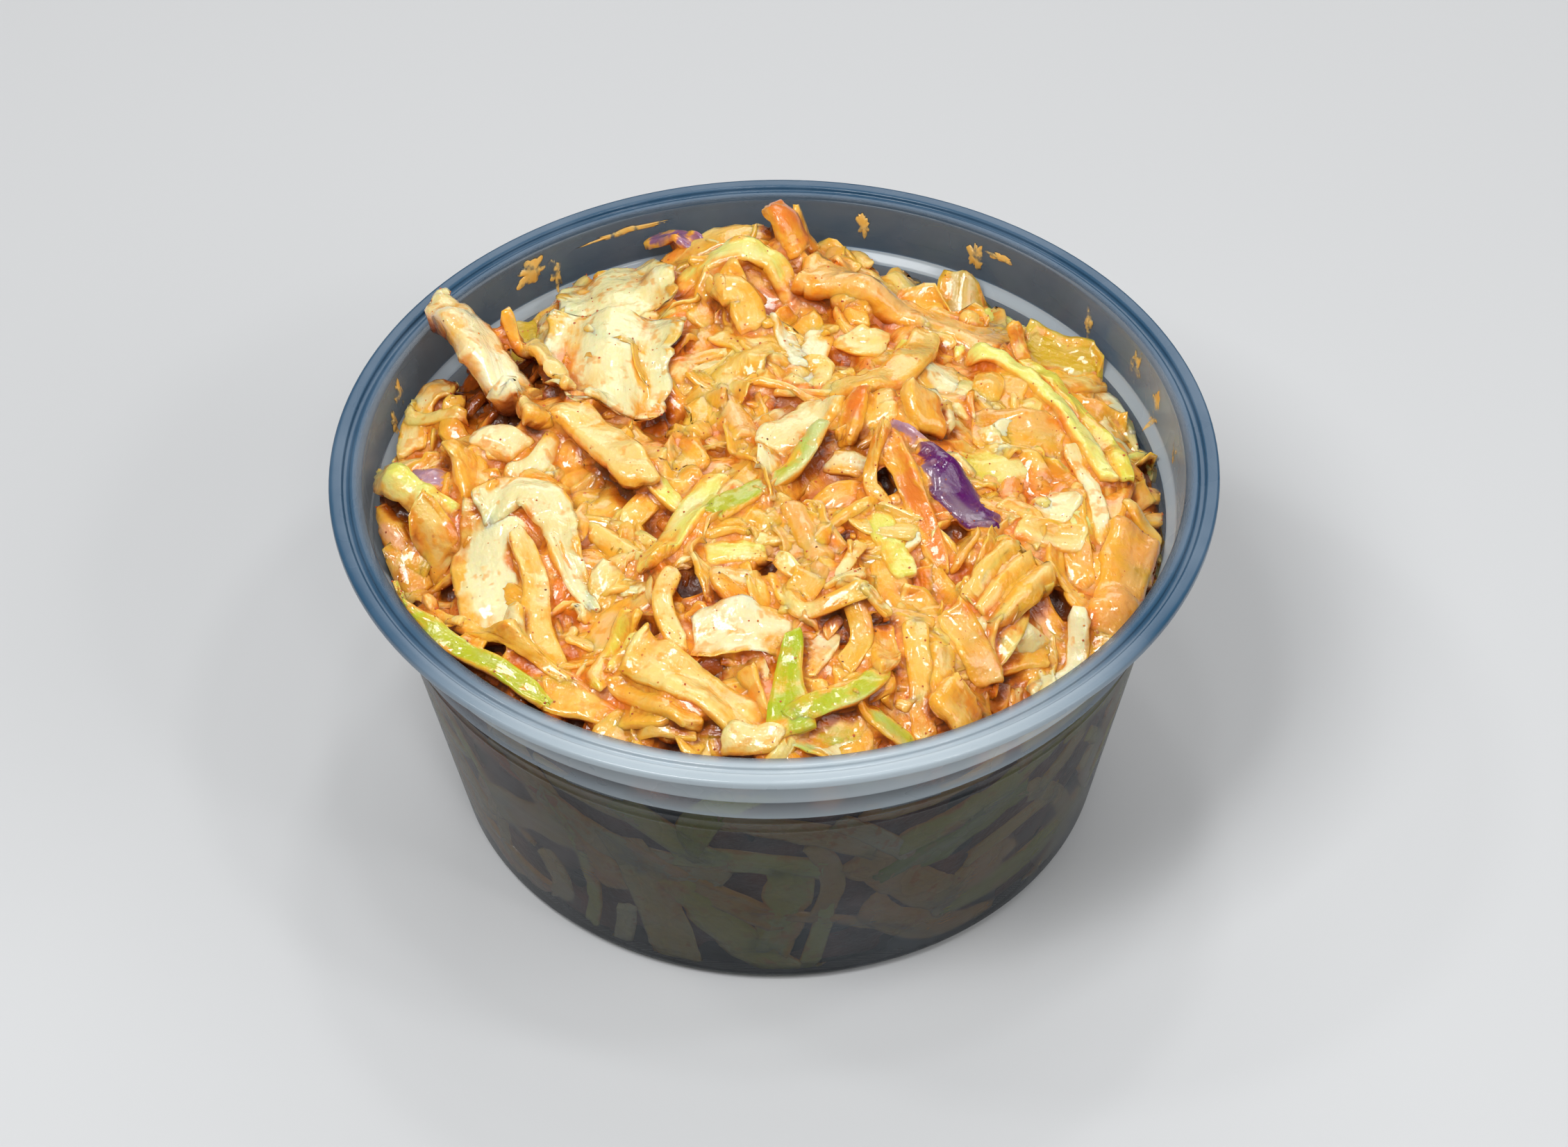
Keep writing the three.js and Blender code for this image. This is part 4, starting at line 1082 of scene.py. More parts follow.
def tone_between(kind, share):
    """A flesh colour of the kind, as linear red, green, blue."""
    first, second = [np.array(linear(tone)) for tone in KINDS[kind]["tones"]]
    return first + (second - first) * share


def linear(hex_colour):
    """Linear red, green and blue of an sRGB colour such as f8f1d2."""
    shares = [int(hex_colour[i : i + 2], 16) / 255 for i in (0, 2, 4)]
    return tuple(s / 12.92 if s <= 0.04045 else ((s + 0.055) / 1.055) ** 2.4 for s in shares)


def joined_shreds(name, items):
    """One mesh of all the wrapped shreds, with their colour and grain as attributes."""
    mesh = joined(name, [item["blank"] for item in items])
    points = np.concatenate([item["points"] for item in items])
    move_to(mesh, points)
    flesh = np.concatenate([np.tile(item["flesh"], (len(item["points"]), 1)) for item in items])
    coat = np.concatenate([item["coat"] for item in items])
    grain = np.concatenate([item["grain"] for item in items])
    colours = np.column_stack([flesh, np.ones(len(flesh))])
    write_attribute(mesh, "flesh", "FLOAT_COLOR", colours)
    write_attribute(mesh, "grain", "FLOAT_VECTOR", grain * MM)
    write_attribute(mesh, "openness", "FLOAT", HEAP.openness(points, SHRED_BY_WALL))
    write_attribute(mesh, "coat", "FLOAT", coat)
    mesh.shade_smooth()
    mesh.update()
    return mesh


# ---------------------------------------------------------- the heap as a whole

CEILING_CELL = 0.7
CEILING_REACHES = (0.8, 1.6, 2.8, 4.5, 7)
CEILING_DIRECTIONS = 8
COVER_DEPTH = 2.5
COVER_SHADE = 0.6
# What touches the wall gets a shade of its own, since the sky doesn't light it.
WALL_BAND = 2.2
SHRED_BY_WALL = (0.7, 1.3)
DRESSING_BY_WALL = (0, 0.08)
WALL_SHADE_SEED = 12
WALL_SHADE_SIZE = 7
# A placed piece of another kind, or as wide as this, is kept clear of fine shreds.
COMMON_KINDS = ("peach", "apricot", "cream")
CLEAR_WIDTH = 5
KEPT_CLEAR_SHARE = 0.15
# A bed shred stays this far under what is laid more than BED_COVER over the core.
BED_COVER = 0.6
BED_SINK = 0.35
DIP_PASSES = 9
DEEPEST_DIP = 3
DEEPEST_HOLE = 1.5
TRY_STRIDE = 37
WIDEST_FINE_CARROT = 3
FINE_TIPS = (0.5, 0.95)
LOOSE_NAMES = ("fine", "strewn")
PLACED_WELLING = 0.4
PLACED_COATS = (0.75, 1.25)
LOOSE_COATS = (0.4, 1.45)
FLESH_SHADES = (0.93, 1.04)
# The middles of wall shreds stand between these distances from the floor and from
# the heap's edge, and their points keep these gaps from both.
WALL_FOOT = 3
WALL_HEAD = 2
WALL_FLOOR_GAP = 1
WALL_TOP_GAP = 0.5
WALL_BOW = 0.25
WALL_ROWS = 9


def wall_rows(piece, turn, height, heading, half, bow):
    """Rows of points across a shred that lies on the inside of the wall."""
    rows = []
    for t in np.linspace(-1, 1, WALL_ROWS):
        row = []
        for side in np.linspace(-1, 1, 3):
            off = side * piece["width"] / 2 + bow * half * t * t
            around = t * half * math.cos(heading) - off * math.sin(heading)
            up = t * half * math.sin(heading) + off * math.cos(heading)
            z = min(HEAP_EDGE - WALL_TOP_GAP, max(FLOOR + WALL_FLOOR_GAP, height + up))
            radius = float(room_at(z)) + CLEARANCE + WALL_REACH - piece["thick"] / 2
            angle = turn + around / radius
            row.append((radius * math.cos(angle), radius * math.sin(angle), z))
        rows.append(row)
    return np.array(rows)


class Heap:
    """All the shreds as laid, and the height of their tops for telling gaps from crests."""

    def __init__(self, settings):
        self.chance = random.Random(settings.seed)
        self.items = []
        field = Field()
        self.kept_clear = set()
        for piece in strewn_pieces():
            self.add(piece, lay_piece(piece, field))
        for piece in PLACED:
            rows = lay_piece(piece, field)
            self.add(piece, rows)
            if piece["kind"] not in COMMON_KINDS or piece["width"] >= CLEAR_WIDTH:
                self.kept_clear.update(field.cell(x, y) for x, y, _ in rows.reshape(-1, 3))
        self.add_bed(field, settings.bed_count)
        self.add_on_top(field, GAPS, settings.gap_count)
        self.add_on_top(field, CURLS, settings.curl_count)
        self.add_on_top(field, TOPS, settings.top_count)
        self.ceiling = self.tops([item["points"] for item in self.items])
        self.wall_items = self.wall_shreds(settings.wall_count)

    def add(self, piece, rows):
        """Wraps the piece about its rows and adds it to the heap."""
        self.items.append(self.item(piece, rows))

    def item(self, piece, rows, reach=0):
        """The wrapped piece with its flesh colour and its coat of dressing."""
        blank, points, grain, hollow = wrapped_shred(piece, rows, self.chance, reach)
        kind = piece["kind"]
        loose = piece["name"] in LOOSE_NAMES
        coat = KINDS[kind]["coat"] * self.chance.uniform(*(LOOSE_COATS if loose else PLACED_COATS))
        flesh = tone_between(kind, self.chance.random()) * self.chance.uniform(*FLESH_SHADES)
        found = {"kind": kind, "blank": blank, "points": points, "grain": grain}
        welling = 1 if loose else PLACED_WELLING
        return {**found, "welling": welling, "coat": coat + hollow, "flesh": flesh}

    def drawn_kind(self, shares):
        """A kind drawn at random by its share."""
        return self.chance.choices(list(shares), list(shares.values()))[0]

    def random_piece(self, rule, x, y, kinds):
        """A short shred about x, y with a random heading, bow and size."""
        chance = self.chance
        heading = chance.uniform(0, 2 * math.pi)
        half = chance.uniform(*rule["length"]) / 2
        bow = half * chance.uniform(-1, 1) * rule["bow"]
        ahead_x = math.cos(heading) * half
        ahead_y = math.sin(heading) * half
        path = (
            (x - ahead_x, y - ahead_y, chance.uniform(*rule["lift"])),
            (x - ahead_y * bow / half, y + ahead_x * bow / half, chance.uniform(*rule["lift"])),
            (x + ahead_x, y + ahead_y, chance.uniform(*rule["lift"])),
        )
        kind = self.drawn_kind(kinds)
        width = chance.uniform(*rule["width"])
        thick = chance.uniform(*rule["thick"])
        if kind == "carrot":
            width = min(width, WIDEST_FINE_CARROT)
        roll = chance.uniform(-1, 1) * rule["roll"]
        tip = chance.uniform(*FINE_TIPS)
        piece = laid("fine", kind, width, thick, *path, tip=tip, roll=roll)
        return {**piece, "ring_gap": rule["ring_gap"]}

    def add_bed(self, field, count):
        """Shreds on the bare core, kept under whatever lies on top of them."""
        self.chance.seed(BED["seed"])
        for i in range(count):
            x, y = spiral_spot(i, count, MOUTH_RADIUS - BED_MARGIN)
            piece = self.random_piece(BED, x, y, BED_KINDS)
            rows = lay_piece(piece, Field())
            for point in rows.reshape(-1, 3):
                top = field.at(point[0], point[1])
                if top > core_height(point[0], point[1]) + BED_COVER:
                    point[2] = min(point[2], top - piece["thick"] / 2 - BED_SINK)
            self.add(piece, rows)

    def add_on_top(self, field, rule, count):
        """Fine shreds in the dips of the top, off the pieces that are kept clear."""
        self.chance.seed(rule["seed"])
        evened = field.heights
        for _ in range(DIP_PASSES):
            evened = sum(neighbours(evened)) / 4
        dip = evened - field.heights
        tries = rule["tries"]
        for i in range(tries):
            x, y = spiral_spot(i * TRY_STRIDE % tries, tries, MOUTH_RADIUS - STREWN_MARGIN)
            in_dip = rule["least_dip"] < dip[field.cell(x, y)] < DEEPEST_DIP
            if not in_dip or hole_depth(x, y) > DEEPEST_HOLE:
                continue
            piece = self.random_piece(rule, x, y, BED_KINDS)
            plan, _ = plan_rows(piece)
            spots = [field.cell(x, y) for line in plan for x, y in line]
            if sum(spot in self.kept_clear for spot in spots) > KEPT_CLEAR_SHARE * len(spots):
                continue
            self.add(piece, lay_piece(piece, field))
            count -= 1
            if count == 0:
                return

    def wall_shreds(self, count):
        """Shreds flat against the inside of the wall, reaching a little into it."""
        self.chance.seed(WALL_SHREDS["seed"])
        chance = self.chance
        room = HEAP_EDGE - FLOOR - WALL_FOOT - WALL_HEAD
        items = []
        for i in range(count):
            piece = self.random_piece(WALL_SHREDS, 0, 0, WALL_KINDS)
            heading = chance.uniform(0, math.pi)
            half = chance.uniform(*WALL_SHREDS["length"]) / 2
            height = FLOOR + WALL_FOOT + room * (i + 0.5) / count
            bow = chance.uniform(-WALL_BOW, WALL_BOW)
            rows = wall_rows(piece, i * GOLDEN_ANGLE, height, heading, half, bow)
            items.append(self.item(piece, rows, CLEARANCE + WALL_REACH))
        return items

    def tops(self, clouds):
        """The highest points of the clouds on a fine grid, with small gaps closed."""
        self.ceiling_half = math.ceil(RIM_RADIUS / CEILING_CELL)
        side = 2 * self.ceiling_half + 1
        grid = np.full((side, side), float(BAND_BOTTOM))
        points = np.concatenate(clouds)
        np.maximum.at(grid, self.ceiling_cell(points[:, 0], points[:, 1]), points[:, 2])
        return np.where(grid <= BAND_BOTTOM, np.maximum.reduce(neighbours(grid)), grid)

    def ceiling_cell(self, x, y):
        """The row and column of the ceiling's grid over each place."""
        cells = [np.rint(value / CEILING_CELL).astype(int) + self.ceiling_half for value in (y, x)]
        return tuple(np.clip(cell, 0, 2 * self.ceiling_half) for cell in cells)

    def openness(self, points, by_wall):
        """How much of the sky each point sees: 1 on a crest, 0 deep in a gap."""
        x, y, z = points.T
        seen = np.zeros(len(points))
        for k in range(CEILING_DIRECTIONS):
            turn = 2 * math.pi * k / CEILING_DIRECTIONS
            steepest = np.zeros(len(points))
            for reach in CEILING_REACHES:
                there = self.ceiling_cell(x + reach * math.cos(turn), y + reach * math.sin(turn))
                steepest = np.maximum(steepest, (self.ceiling[there] - z) / reach)
            seen += 1 - steepest / np.sqrt(1 + steepest * steepest)
        cover = np.clip((self.ceiling[self.ceiling_cell(x, y)] - z) / COVER_DEPTH, 0, 1)
        openness = seen / CEILING_DIRECTIONS * (1 - COVER_SHADE * cover)
        at_wall = (np.hypot(x, y) > room_at(z) - WALL_BAND) & (z < HEAP_EDGE)
        least, most = by_wall
        share = 0.5 + 0.5 * lumps(points, WALL_SHADE_SIZE, random.Random(WALL_SHADE_SEED))
        return np.where(at_wall, np.maximum(openness, least + (most - least) * share), openness)


HEAP = None


# --------------------------------------------------------- finishes from nodes


class Flow:
    """A shader socket whose sums and products add Math nodes."""

    def __init__(self, finish, socket):
        self.finish = finish
        self.socket = socket

    def maths(self, operation, *values):
        inputs = dict(enumerate(values))
        return self.finish.node("Math", inputs, operation=operation)

    def __add__(self, other):
        return self.maths("ADD", self, other)

    __radd__ = __add__

    def __sub__(self, other):
        return self.maths("SUBTRACT", self, other)

    def __rsub__(self, other):
        return self.maths("SUBTRACT", other, self)

    def __mul__(self, other):
        return self.maths("MULTIPLY", self, other)

    __rmul__ = __mul__

    def between(self, low, high):
        """0 below low, 1 above high, and smooth from one to the other."""
        sockets = {"Value": self, "From Min": low, "From Max": high}
        return self.finish.node("MapRange", sockets, interpolation_type="SMOOTHSTEP")


class Finish:
    """A material and the one way in which its nodes are added."""

    def __init__(self, name):
        self.material = bpy.data.materials.new(name)
        self.material.use_nodes = True
        self.tree = self.material.node_tree
        self.tree.nodes.clear()

    def node(self, kind, inputs=None, output=0, **settings):
        node = self.tree.nodes.new("ShaderNode" + kind)
        for setting, value in settings.items():
            setattr(node, setting, value)
        for socket, value in (inputs or {}).items():
            if isinstance(value, Flow):
                self.tree.links.new(value.socket, node.inputs[socket])
            else:
                node.inputs[socket].default_value = value
        return Flow(self, node.outputs[output])

    def attribute(self, name, output="Fac"):
        return self.node("Attribute", output=output, attribute_name=name)

    def position(self):
        return self.node("TexCoord", output="Object")

    def noise(self, vector, scale, detail=2, roughness=0.5):
        sockets = {"Vector": vector, "Scale": scale, "Detail": detail, "Roughness": roughness}
        return self.node("TexNoise", sockets)

    def stretched(self, vector, x, y, z):
        """The vector times a number along each axis."""
        return self.node("VectorMath", {0: vector, 1: (x, y, z)}, operation="MULTIPLY")

    def mix(self, share, first, second, blend="MIX"):
        """A colour between two colours, or their blend."""
        colours = {0: share, 6: opaque(first), 7: opaque(second)}
        return self.node("Mix", colours, 2, data_type="RGBA", blend_type=blend)

    def bump(self, height, distance, strength=1):
        sockets = {"Height": height, "Distance": distance, "Strength": strength}
        return self.node("Bump", sockets)

    def specks(self, scale, size, share):
        """1 on small dots in a share of the cells of a pattern, 0 between them."""
        sockets = {"Vector": self.position(), "Scale": scale}
        distance = self.node("TexVoronoi", sockets, "Distance")
        colour = self.node("TexVoronoi", sockets, "Color")
        chance = self.node("SeparateColor", {0: colour})
        near = 1 - distance.between(size * 0.6, size)
        return near * chance.maths("LESS_THAN", chance, share)

    def surface(self, **sockets):
        named = {name.replace("_", " "): value for name, value in sockets.items()}
        shader = self.node("BsdfPrincipled", named)
        self.node("OutputMaterial", {"Surface": shader}, output=slice(0))
        return self.material


def opaque(colour):
    """A colour with an alpha of 1, or the flow as it is."""
    return colour if isinstance(colour, Flow) else (*colour[:3], 1)


MILKY_DRESSING = linear("fad06c")
THIN_DRESSING = linear("f8b034")
THICK_DRESSING = linear("ec7c14")
# Painted shade: the colours of dressing deep in a gap and down in a pit.
GAP_SHADE_DRESSING = linear("a04400")
PIT_SHADOW_DRESSING = linear("3a1a08")
STAINED_FLESH = linear("f0c264")
PAPRIKA_SMUDGE = linear("ec9a2e")
PEPPER_RED = linear("c4461a")
PEPPER_DARK = linear("6e3516")
# How fine each pattern is, in features to the metre; those of the flesh are finer
# across a shred than along it.
POOLS = 170
MILK_PATCHES = 330
BLOTCHES = 210
STAINS = 95
SMUDGES = 430
DRESSING_CLOTS = 420
FINE_GRAIN = 1100
PEPPER_GRAIN = 2500
FIBRES = (110, 900, 300)
PALE_STREAKS = (60, 260, 200)
DRESSING_STREAKS = (90, 420, 300)
# Specks in the dressing: how many to the metre, their size and share of the cells.
RED_SPECKS = (560, 0.15, 0.14)
DARK_SPECKS = (360, 0.08, 0.06)
VEIN_TINT = (1, 0.97, 0.82)
PALE_FLESH = linear("f9f8dc")
PALE_SMEAR = linear("ffe290")
DEEP_SMEAR = linear("f4ba52")
WET_ROUGHNESS = 0.04
WET_IOR = 1.42
SKIN_DEPTH = 0.45 * MM


def dressing_colour(finish, openness):
    """Milky where the dressing lies thin on a crest, orange where thick, and darkened by painted
    shade down in a gap.
    """
    place = finish.position()
    pools = finish.noise(place, POOLS, 3, 0.55)
    milk = finish.noise(place, MILK_PATCHES)
    thickness = 1.05 - openness + (pools - 0.5) * 2.8
    colour = finish.mix(thickness.between(0.1, 1.2), THIN_DRESSING, THICK_DRESSING)
    colour = finish.mix(milk.between(0.5, 0.72) * 0.55, colour, MILKY_DRESSING)
    # Painted shade: the dressing turns dark brown as openness falls, and nearly black deep in a pit.
    colour = finish.mix((0.52 - openness).between(0, 0.5) * 0.85, colour, GAP_SHADE_DRESSING)
    colour = finish.mix((0.16 - openness).between(0, 0.16) * 0.85, colour, PIT_SHADOW_DRESSING)
    colour = finish.mix(finish.specks(*RED_SPECKS) * 0.8, colour, PEPPER_RED)
    return finish.mix(finish.specks(*DARK_SPECKS) * 0.8, colour, PEPPER_DARK)


def flesh_colour(finish, fibre, veins, stains):
    """The flesh attribute with veins, pale streaks, stains and smudges of paprika."""
    flesh = finish.attribute("flesh", "Color")
    grain = finish.attribute("grain", "Vector")
    place = finish.position()
    flesh = finish.mix(fibre.between(0.35, 0.75) * veins, flesh, VEIN_TINT, "MULTIPLY")
    pale = finish.noise(finish.stretched(grain, *PALE_STREAKS), 1).between(0.5, 0.72)
    flesh = finish.mix(pale * veins * 0.5, flesh, PALE_FLESH)
    stain = finish.noise(place, STAINS).between(0.45, 0.75)
    flesh = finish.mix(stain * stains, flesh, STAINED_FLESH)
    smudge = finish.noise(place, SMUDGES, 2, 0.6).between(0.57, 0.68)
    return finish.mix(smudge * stains, flesh, PAPRIKA_SMUDGE)


def dressed_finish(name, veins, stains, wet):
    """Flesh from the piece's attribute, under a film of dressing that is thick in gaps, with painted
    shade that darkens the gaps.
    """
    finish = Finish(name)
    grain = finish.attribute("grain", "Vector")
    openness = finish.attribute("openness")
    coat = finish.attribute("coat")
    place = finish.position()

    fibre = finish.noise(finish.stretched(grain, *FIBRES), 1, 3)
    flesh = flesh_colour(finish, fibre, veins, stains)
    blotch = finish.noise(place, BLOTCHES, 3, 0.6)
    streak = finish.noise(finish.stretched(grain, *DRESSING_STREAKS), 1, 3, 0.6)
    # The film grows as openness falls: partly dressing that pools in the gaps, partly painted shade
    # that turns flesh in shadow orange-brown.
    film = coat + (blotch - 0.5) * 1.6 + (streak - 0.5) * 1.3 + (0.8 - openness) * 0.9
    cover = film.between(0.2, 0.85)
    colour = finish.mix(cover * 0.94, flesh, dressing_colour(finish, openness))
    # Painted shade: flesh deep in a gap darkens toward the shade colour of the dressing.
    colour = finish.mix((0.42 - openness).between(0, 0.4) * 0.6, colour, GAP_SHADE_DRESSING)

    fine = finish.noise(place, FINE_GRAIN, 3, 0.55)
    height = film * 0.55 + fibre * 0.25 * veins + fine * 0.4
    return finish.surface(
        Base_Color=colour,
        Roughness=0.19 - cover * 0.05,
        Specular_IOR_Level=0.6,
        Normal=finish.bump(height, SKIN_DEPTH),
        Coat_Weight=(cover * 0.25 + 0.75) * wet * openness.between(0.1, 0.45),
        Coat_Roughness=WET_ROUGHNESS,
        Subsurface_Weight=0.5,
        Subsurface_Radius=(1, 0.55, 0.25),
        Subsurface_Scale=1.8 * MM,
        IOR=WET_IOR,
    )


def dressing_finish(name):
    """The dressing alone: light where it lies thin, darker and redder in the gaps, where painted
    shade darkens it.
    """
    finish = Finish(name)
    openness = finish.attribute("openness")
    place = finish.position()
    clots = finish.noise(place, DRESSING_CLOTS, 3, 0.55)
    fine = finish.noise(place, FINE_GRAIN, 3, 0.55)
    return finish.surface(
        Base_Color=dressing_colour(finish, openness),
        Roughness=0.34 - openness * 0.2,
        Specular_IOR_Level=0.7,
        Normal=finish.bump(clots * 0.7 + fine * 0.4, 0.5 * MM),
        Coat_Weight=openness.between(0.15, 0.5),
        Coat_Roughness=WET_ROUGHNESS,
        Subsurface_Weight=0.35,
        Subsurface_Radius=(1, 0.5, 0.2),
        Subsurface_Scale=1.6 * MM,
        IOR=WET_IOR,
    )


# Painted light: the rim grows paler to the front, between these distances before the middle. The
# pale colour also paints the highlight and the reflection where frost_and_glare passes 1.
PAINTED_LIGHT_PALE = linear("c2ced4")
PAINTED_LIGHT_FRONT = (0.03, 0.057)
PAINTED_LIGHT_SHARE = 0.8
CLOUD_TINT = linear("cfdce8")
CLOUDS = 60
SCRATCHES = (40, 40, 900)


def plastic_finish(name, settings):
    """Clear plastic, as cloudy as the haze attribute says and as pale as frost_and_glare says, with
    painted light that pales the rim to the front.

    A frost_and_glare of 0 has the wall's colour, 1 the rim's, and 2 is palest: above 1 it is a
    painted highlight on the ledge and a painted reflection on the right of the inner wall.
    """
    finish = Finish(name)
    haze = finish.attribute("haze")
    frost_and_glare = finish.attribute("frost_and_glare")
    place = finish.position()
    depth = finish.node("SeparateXYZ", {0: place}, 1)
    front_light = (0 - depth).between(*PAINTED_LIGHT_FRONT) * PAINTED_LIGHT_SHARE
    rim_color = finish.mix(front_light, settings.rim_color, PAINTED_LIGHT_PALE)
    colour = finish.mix(frost_and_glare.between(0, 1), settings.wall_color, rim_color)
    colour = finish.mix(frost_and_glare.between(1, 2), colour, PAINTED_LIGHT_PALE)
    cloud = finish.noise(place, CLOUDS, 3, 0.6)
    scratches = finish.noise(finish.stretched(place, *SCRATCHES), 1)
    tint = finish.mix(cloud.between(0.3, 0.8) * 0.08, colour, CLOUD_TINT)
    return finish.surface(
        Base_Color=tint,
        Roughness=0.2 + cloud * 0.15,
        Alpha=haze + (cloud - 0.5) * 0.1,
        Normal=finish.bump(scratches, 0.05 * MM, 0.4),
        Specular_IOR_Level=0.22,
        Coat_Weight=frost_and_glare.between(0, 1) * 0.4,
        Coat_Roughness=0.12,
    )


def pepper_finish(name):
    """Grains of pepper and paprika in the tones of the flesh attribute."""
    finish = Finish(name)
    flesh = finish.attribute("flesh", "Color")
    fine = finish.noise(finish.position(), PEPPER_GRAIN)
    colour = finish.mix(fine.between(0.4, 0.7) * 0.25, flesh, PEPPER_DARK)
    return finish.surface(
        Base_Color=colour,
        Roughness=0.4,
        Coat_Weight=0.4,
        Coat_Roughness=0.2,
        Normal=finish.bump(fine, 0.05 * MM),
    )


def smear_finish(name):
    """A thin and broken film of dressing that lets the wall show."""
    finish = Finish(name)
    fine = finish.noise(finish.position(), DRESSING_CLOTS, 3)
    colour = finish.mix(fine.between(0.3, 0.7), PALE_SMEAR, DEEP_SMEAR)
    return finish.surface(
        Base_Color=colour,
        Roughness=0.3,
        Alpha=fine.between(0.4, 0.56) * 0.85,
        Coat_Weight=0.5,
        Coat_Roughness=0.15,
        Normal=finish.bump(fine, 0.1 * MM),
    )


def floor_finish(name, colour):
    """A pale and nearly even floor."""
    finish = Finish(name)
    cloud = finish.noise(finish.position(), 6, 3)
    tone = finish.mix(cloud * 0.06, colour, (0.5, 0.5, 0.5))
    return finish.surface(Base_Color=tone, Roughness=0.55, Specular_IOR_Level=0.3)


# ------------------------------------------------------------- making pieces


def add_piece(name, mesh, material, node):
    """Links a finished piece, which rides with the tub and stands for a node."""
    piece = linked(name, mesh)
    mesh.materials.clear()
    mesh.materials.append(material)
    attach(piece, "root")
    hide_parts(node)


def settled_heap():
    """The heap, laid out once for all the operators."""
    global HEAP
    if HEAP is None:
        HEAP = Heap(bpy.context.scene.coleslaw_heap)
    return HEAP


def rounded_outline(corners, soft):
    """Radius and height points of an outline whose corners are rounded by soft."""
    outline = []
    for before, corner, after in zip(corners, corners[1:], corners[2:]):
        corner_point = Vector(corner)
        back = Vector(before) - corner_point
        ahead = Vector(after) - corner_point
        start = corner_point + back * min(MOST_ROUNDED, soft / back.length)
        stop = corner_point + ahead * min(MOST_ROUNDED, soft / ahead.length)
        for u in CORNER_POINTS:
            first = start.lerp(corner_point, u)
            outline.append(first.lerp(corner_point.lerp(stop, u), u))
    return [Vector(corners[0]), *outline, Vector(corners[-1])]


def spun(bm, outline, steps):
    """Spins radius and height points about Z into a closed surface."""
    verts = [bm.verts.new((point[0] * MM, 0, point[1] * MM)) for point in outline]
    edges = [bm.edges.new(pair) for pair in zip(verts, verts[1:])]
    bmesh.ops.spin(
        bm,
        geom=verts + edges,
        axis=(0, 0, 1),
        cent=(0, 0, 0),
        angle=2 * math.pi,
        steps=steps,
        use_merge=True,
    )
    bmesh.ops.remove_doubles(bm, verts=bm.verts, dist=TINY)
    bmesh.ops.recalc_face_normals(bm, faces=bm.faces)


# ----------------------------------------------------------------------- tub


def tub_outline():
    """Half the tub's section from the middle of its base, over the rim, to its floor."""
    under_rim = TUB_HEIGHT - RIM_DEPTH
    groove = TUB_HEIGHT - RIM_GROOVE
    slope = (NECK_RADIUS - BASE_RADIUS) / (BAND_BOTTOM - BASE_CORNER)
    corners = [(0, 0), (BASE_RADIUS - BASE_CORNER, 0), (BASE_RADIUS, BASE_CORNER)]
    for height in RIDGE_HEIGHTS:
        radius = BASE_RADIUS + slope * (height - BASE_CORNER)
        corners.append((radius, height - RIDGE_WIDTH))
        corners.append((radius + RIDGE_DEPTH, height))
        corners.append((radius, height + RIDGE_WIDTH))
    corners += [
        (NECK_RADIUS, BAND_BOTTOM),
        (BAND_RADIUS, BAND_BOTTOM),
        (BAND_RADIUS + BAND_LEAN * BAND_FOOT, BAND_BOTTOM + BAND_FOOT),
        (BAND_TOP_RADIUS, under_rim),
        (RIM_RADIUS, under_rim),
        (RIM_RADIUS, TUB_HEIGHT),
        (RIM_RADIUS - RIM_LIP, TUB_HEIGHT),
        (RIM_RADIUS - RIM_LIP, groove),
        (MOUTH_RADIUS + RIM_LIP, groove),
        (MOUTH_RADIUS + RIM_LIP, TUB_HEIGHT),
        (MOUTH_RADIUS, TUB_HEIGHT),
    ]
    return rounded_outline([*corners, *inner_profile(), (0, FLOOR)], OUTLINE_SOFTNESS)


def add_lug(bm, middle_deg):
    """One of the small blocks under the band on which stacked tubs rest."""
    start = math.radians(middle_deg - LUG_WIDTH_DEG / 2)
    low = BAND_BOTTOM - LUG_DROP
    inner = NECK_RADIUS - WALL / 2
    outer = BAND_RADIUS - LUG_INSET
    high = BAND_BOTTOM + LUG_DROP
    verts = []
    for radius, height in ((inner, low), (outer, low), (outer, high), (inner, high)):
        place = (radius * MM * math.cos(start), radius * MM * math.sin(start), height * MM)
        verts.append(bm.verts.new(place))
    bmesh.ops.spin(
        bm,
        geom=[bm.faces.new(verts)],
        axis=(0, 0, 1),
        cent=(0, 0, 0),
        angle=math.radians(LUG_WIDTH_DEG),
        steps=LUG_STEPS,
    )


def haze_at(points):
    """How cloudy and how pale the plastic is at points, by the part that they are in, with painted
    highlight on the ledge and painted reflection on the right of the inner wall.
    """
    radius = np.hypot(points[:, 0], points[:, 1])
    height = points[:, 2]
    settings = bpy.context.scene.coleslaw_tub
    in_rim = height > TUB_HEIGHT - RIM_DEPTH - SLACK
    rim = np.clip((radius - MOUTH_RADIUS - RIM_FROM) / RIM_OVER, 0, 1) * in_rim
    band = np.clip((height - BAND_BOTTOM + BAND_LEAD) / BAND_OVER, 0, 1)
    at_foot = (radius > BAND_RADIUS - BAND_SKIN) & (height > BAND_BOTTOM - SLACK)
    foot = np.clip(1 - (height - BAND_BOTTOM) / BAND_FOOT, 0, 1) * at_foot
    in_mouth = radius < MOUTH_RADIUS + FINE_SLACK
    inner = in_mouth & (height > LEDGE_HEIGHT)
    back = inner * np.clip((points[:, 1] - BACK_FROM) / BACK_OVER, 0, 1)
    right = inner * np.clip((points[:, 0] - RIGHT_FROM) / RIGHT_OVER, 0, 1)
    ledge = (np.abs(height - LEDGE_HEIGHT) < LEDGE_SLOPE + FINE_SLACK) & in_mouth
    parts = (
        (band, settings.band_haze, BAND_FROST),
        (foot, FOOT_HAZE, FOOT_FROST),
        (back, BACK_HAZE, BACK_FROST),
        (right, RIGHT_HAZE, RIGHT_REFLECTION),
        (ledge, LEDGE_HAZE, LEDGE_HIGHLIGHT),
        (rim, settings.rim_haze, 1),
    )
    haze = np.full(len(points), settings.wall_haze)
    frost_and_glare = np.zeros(len(points))
    for share, part_haze, part_frost_and_glare in parts:
        haze += (part_haze - haze) * share
        frost_and_glare = np.maximum(frost_and_glare, part_frost_and_glare * share)
    return haze, frost_and_glare


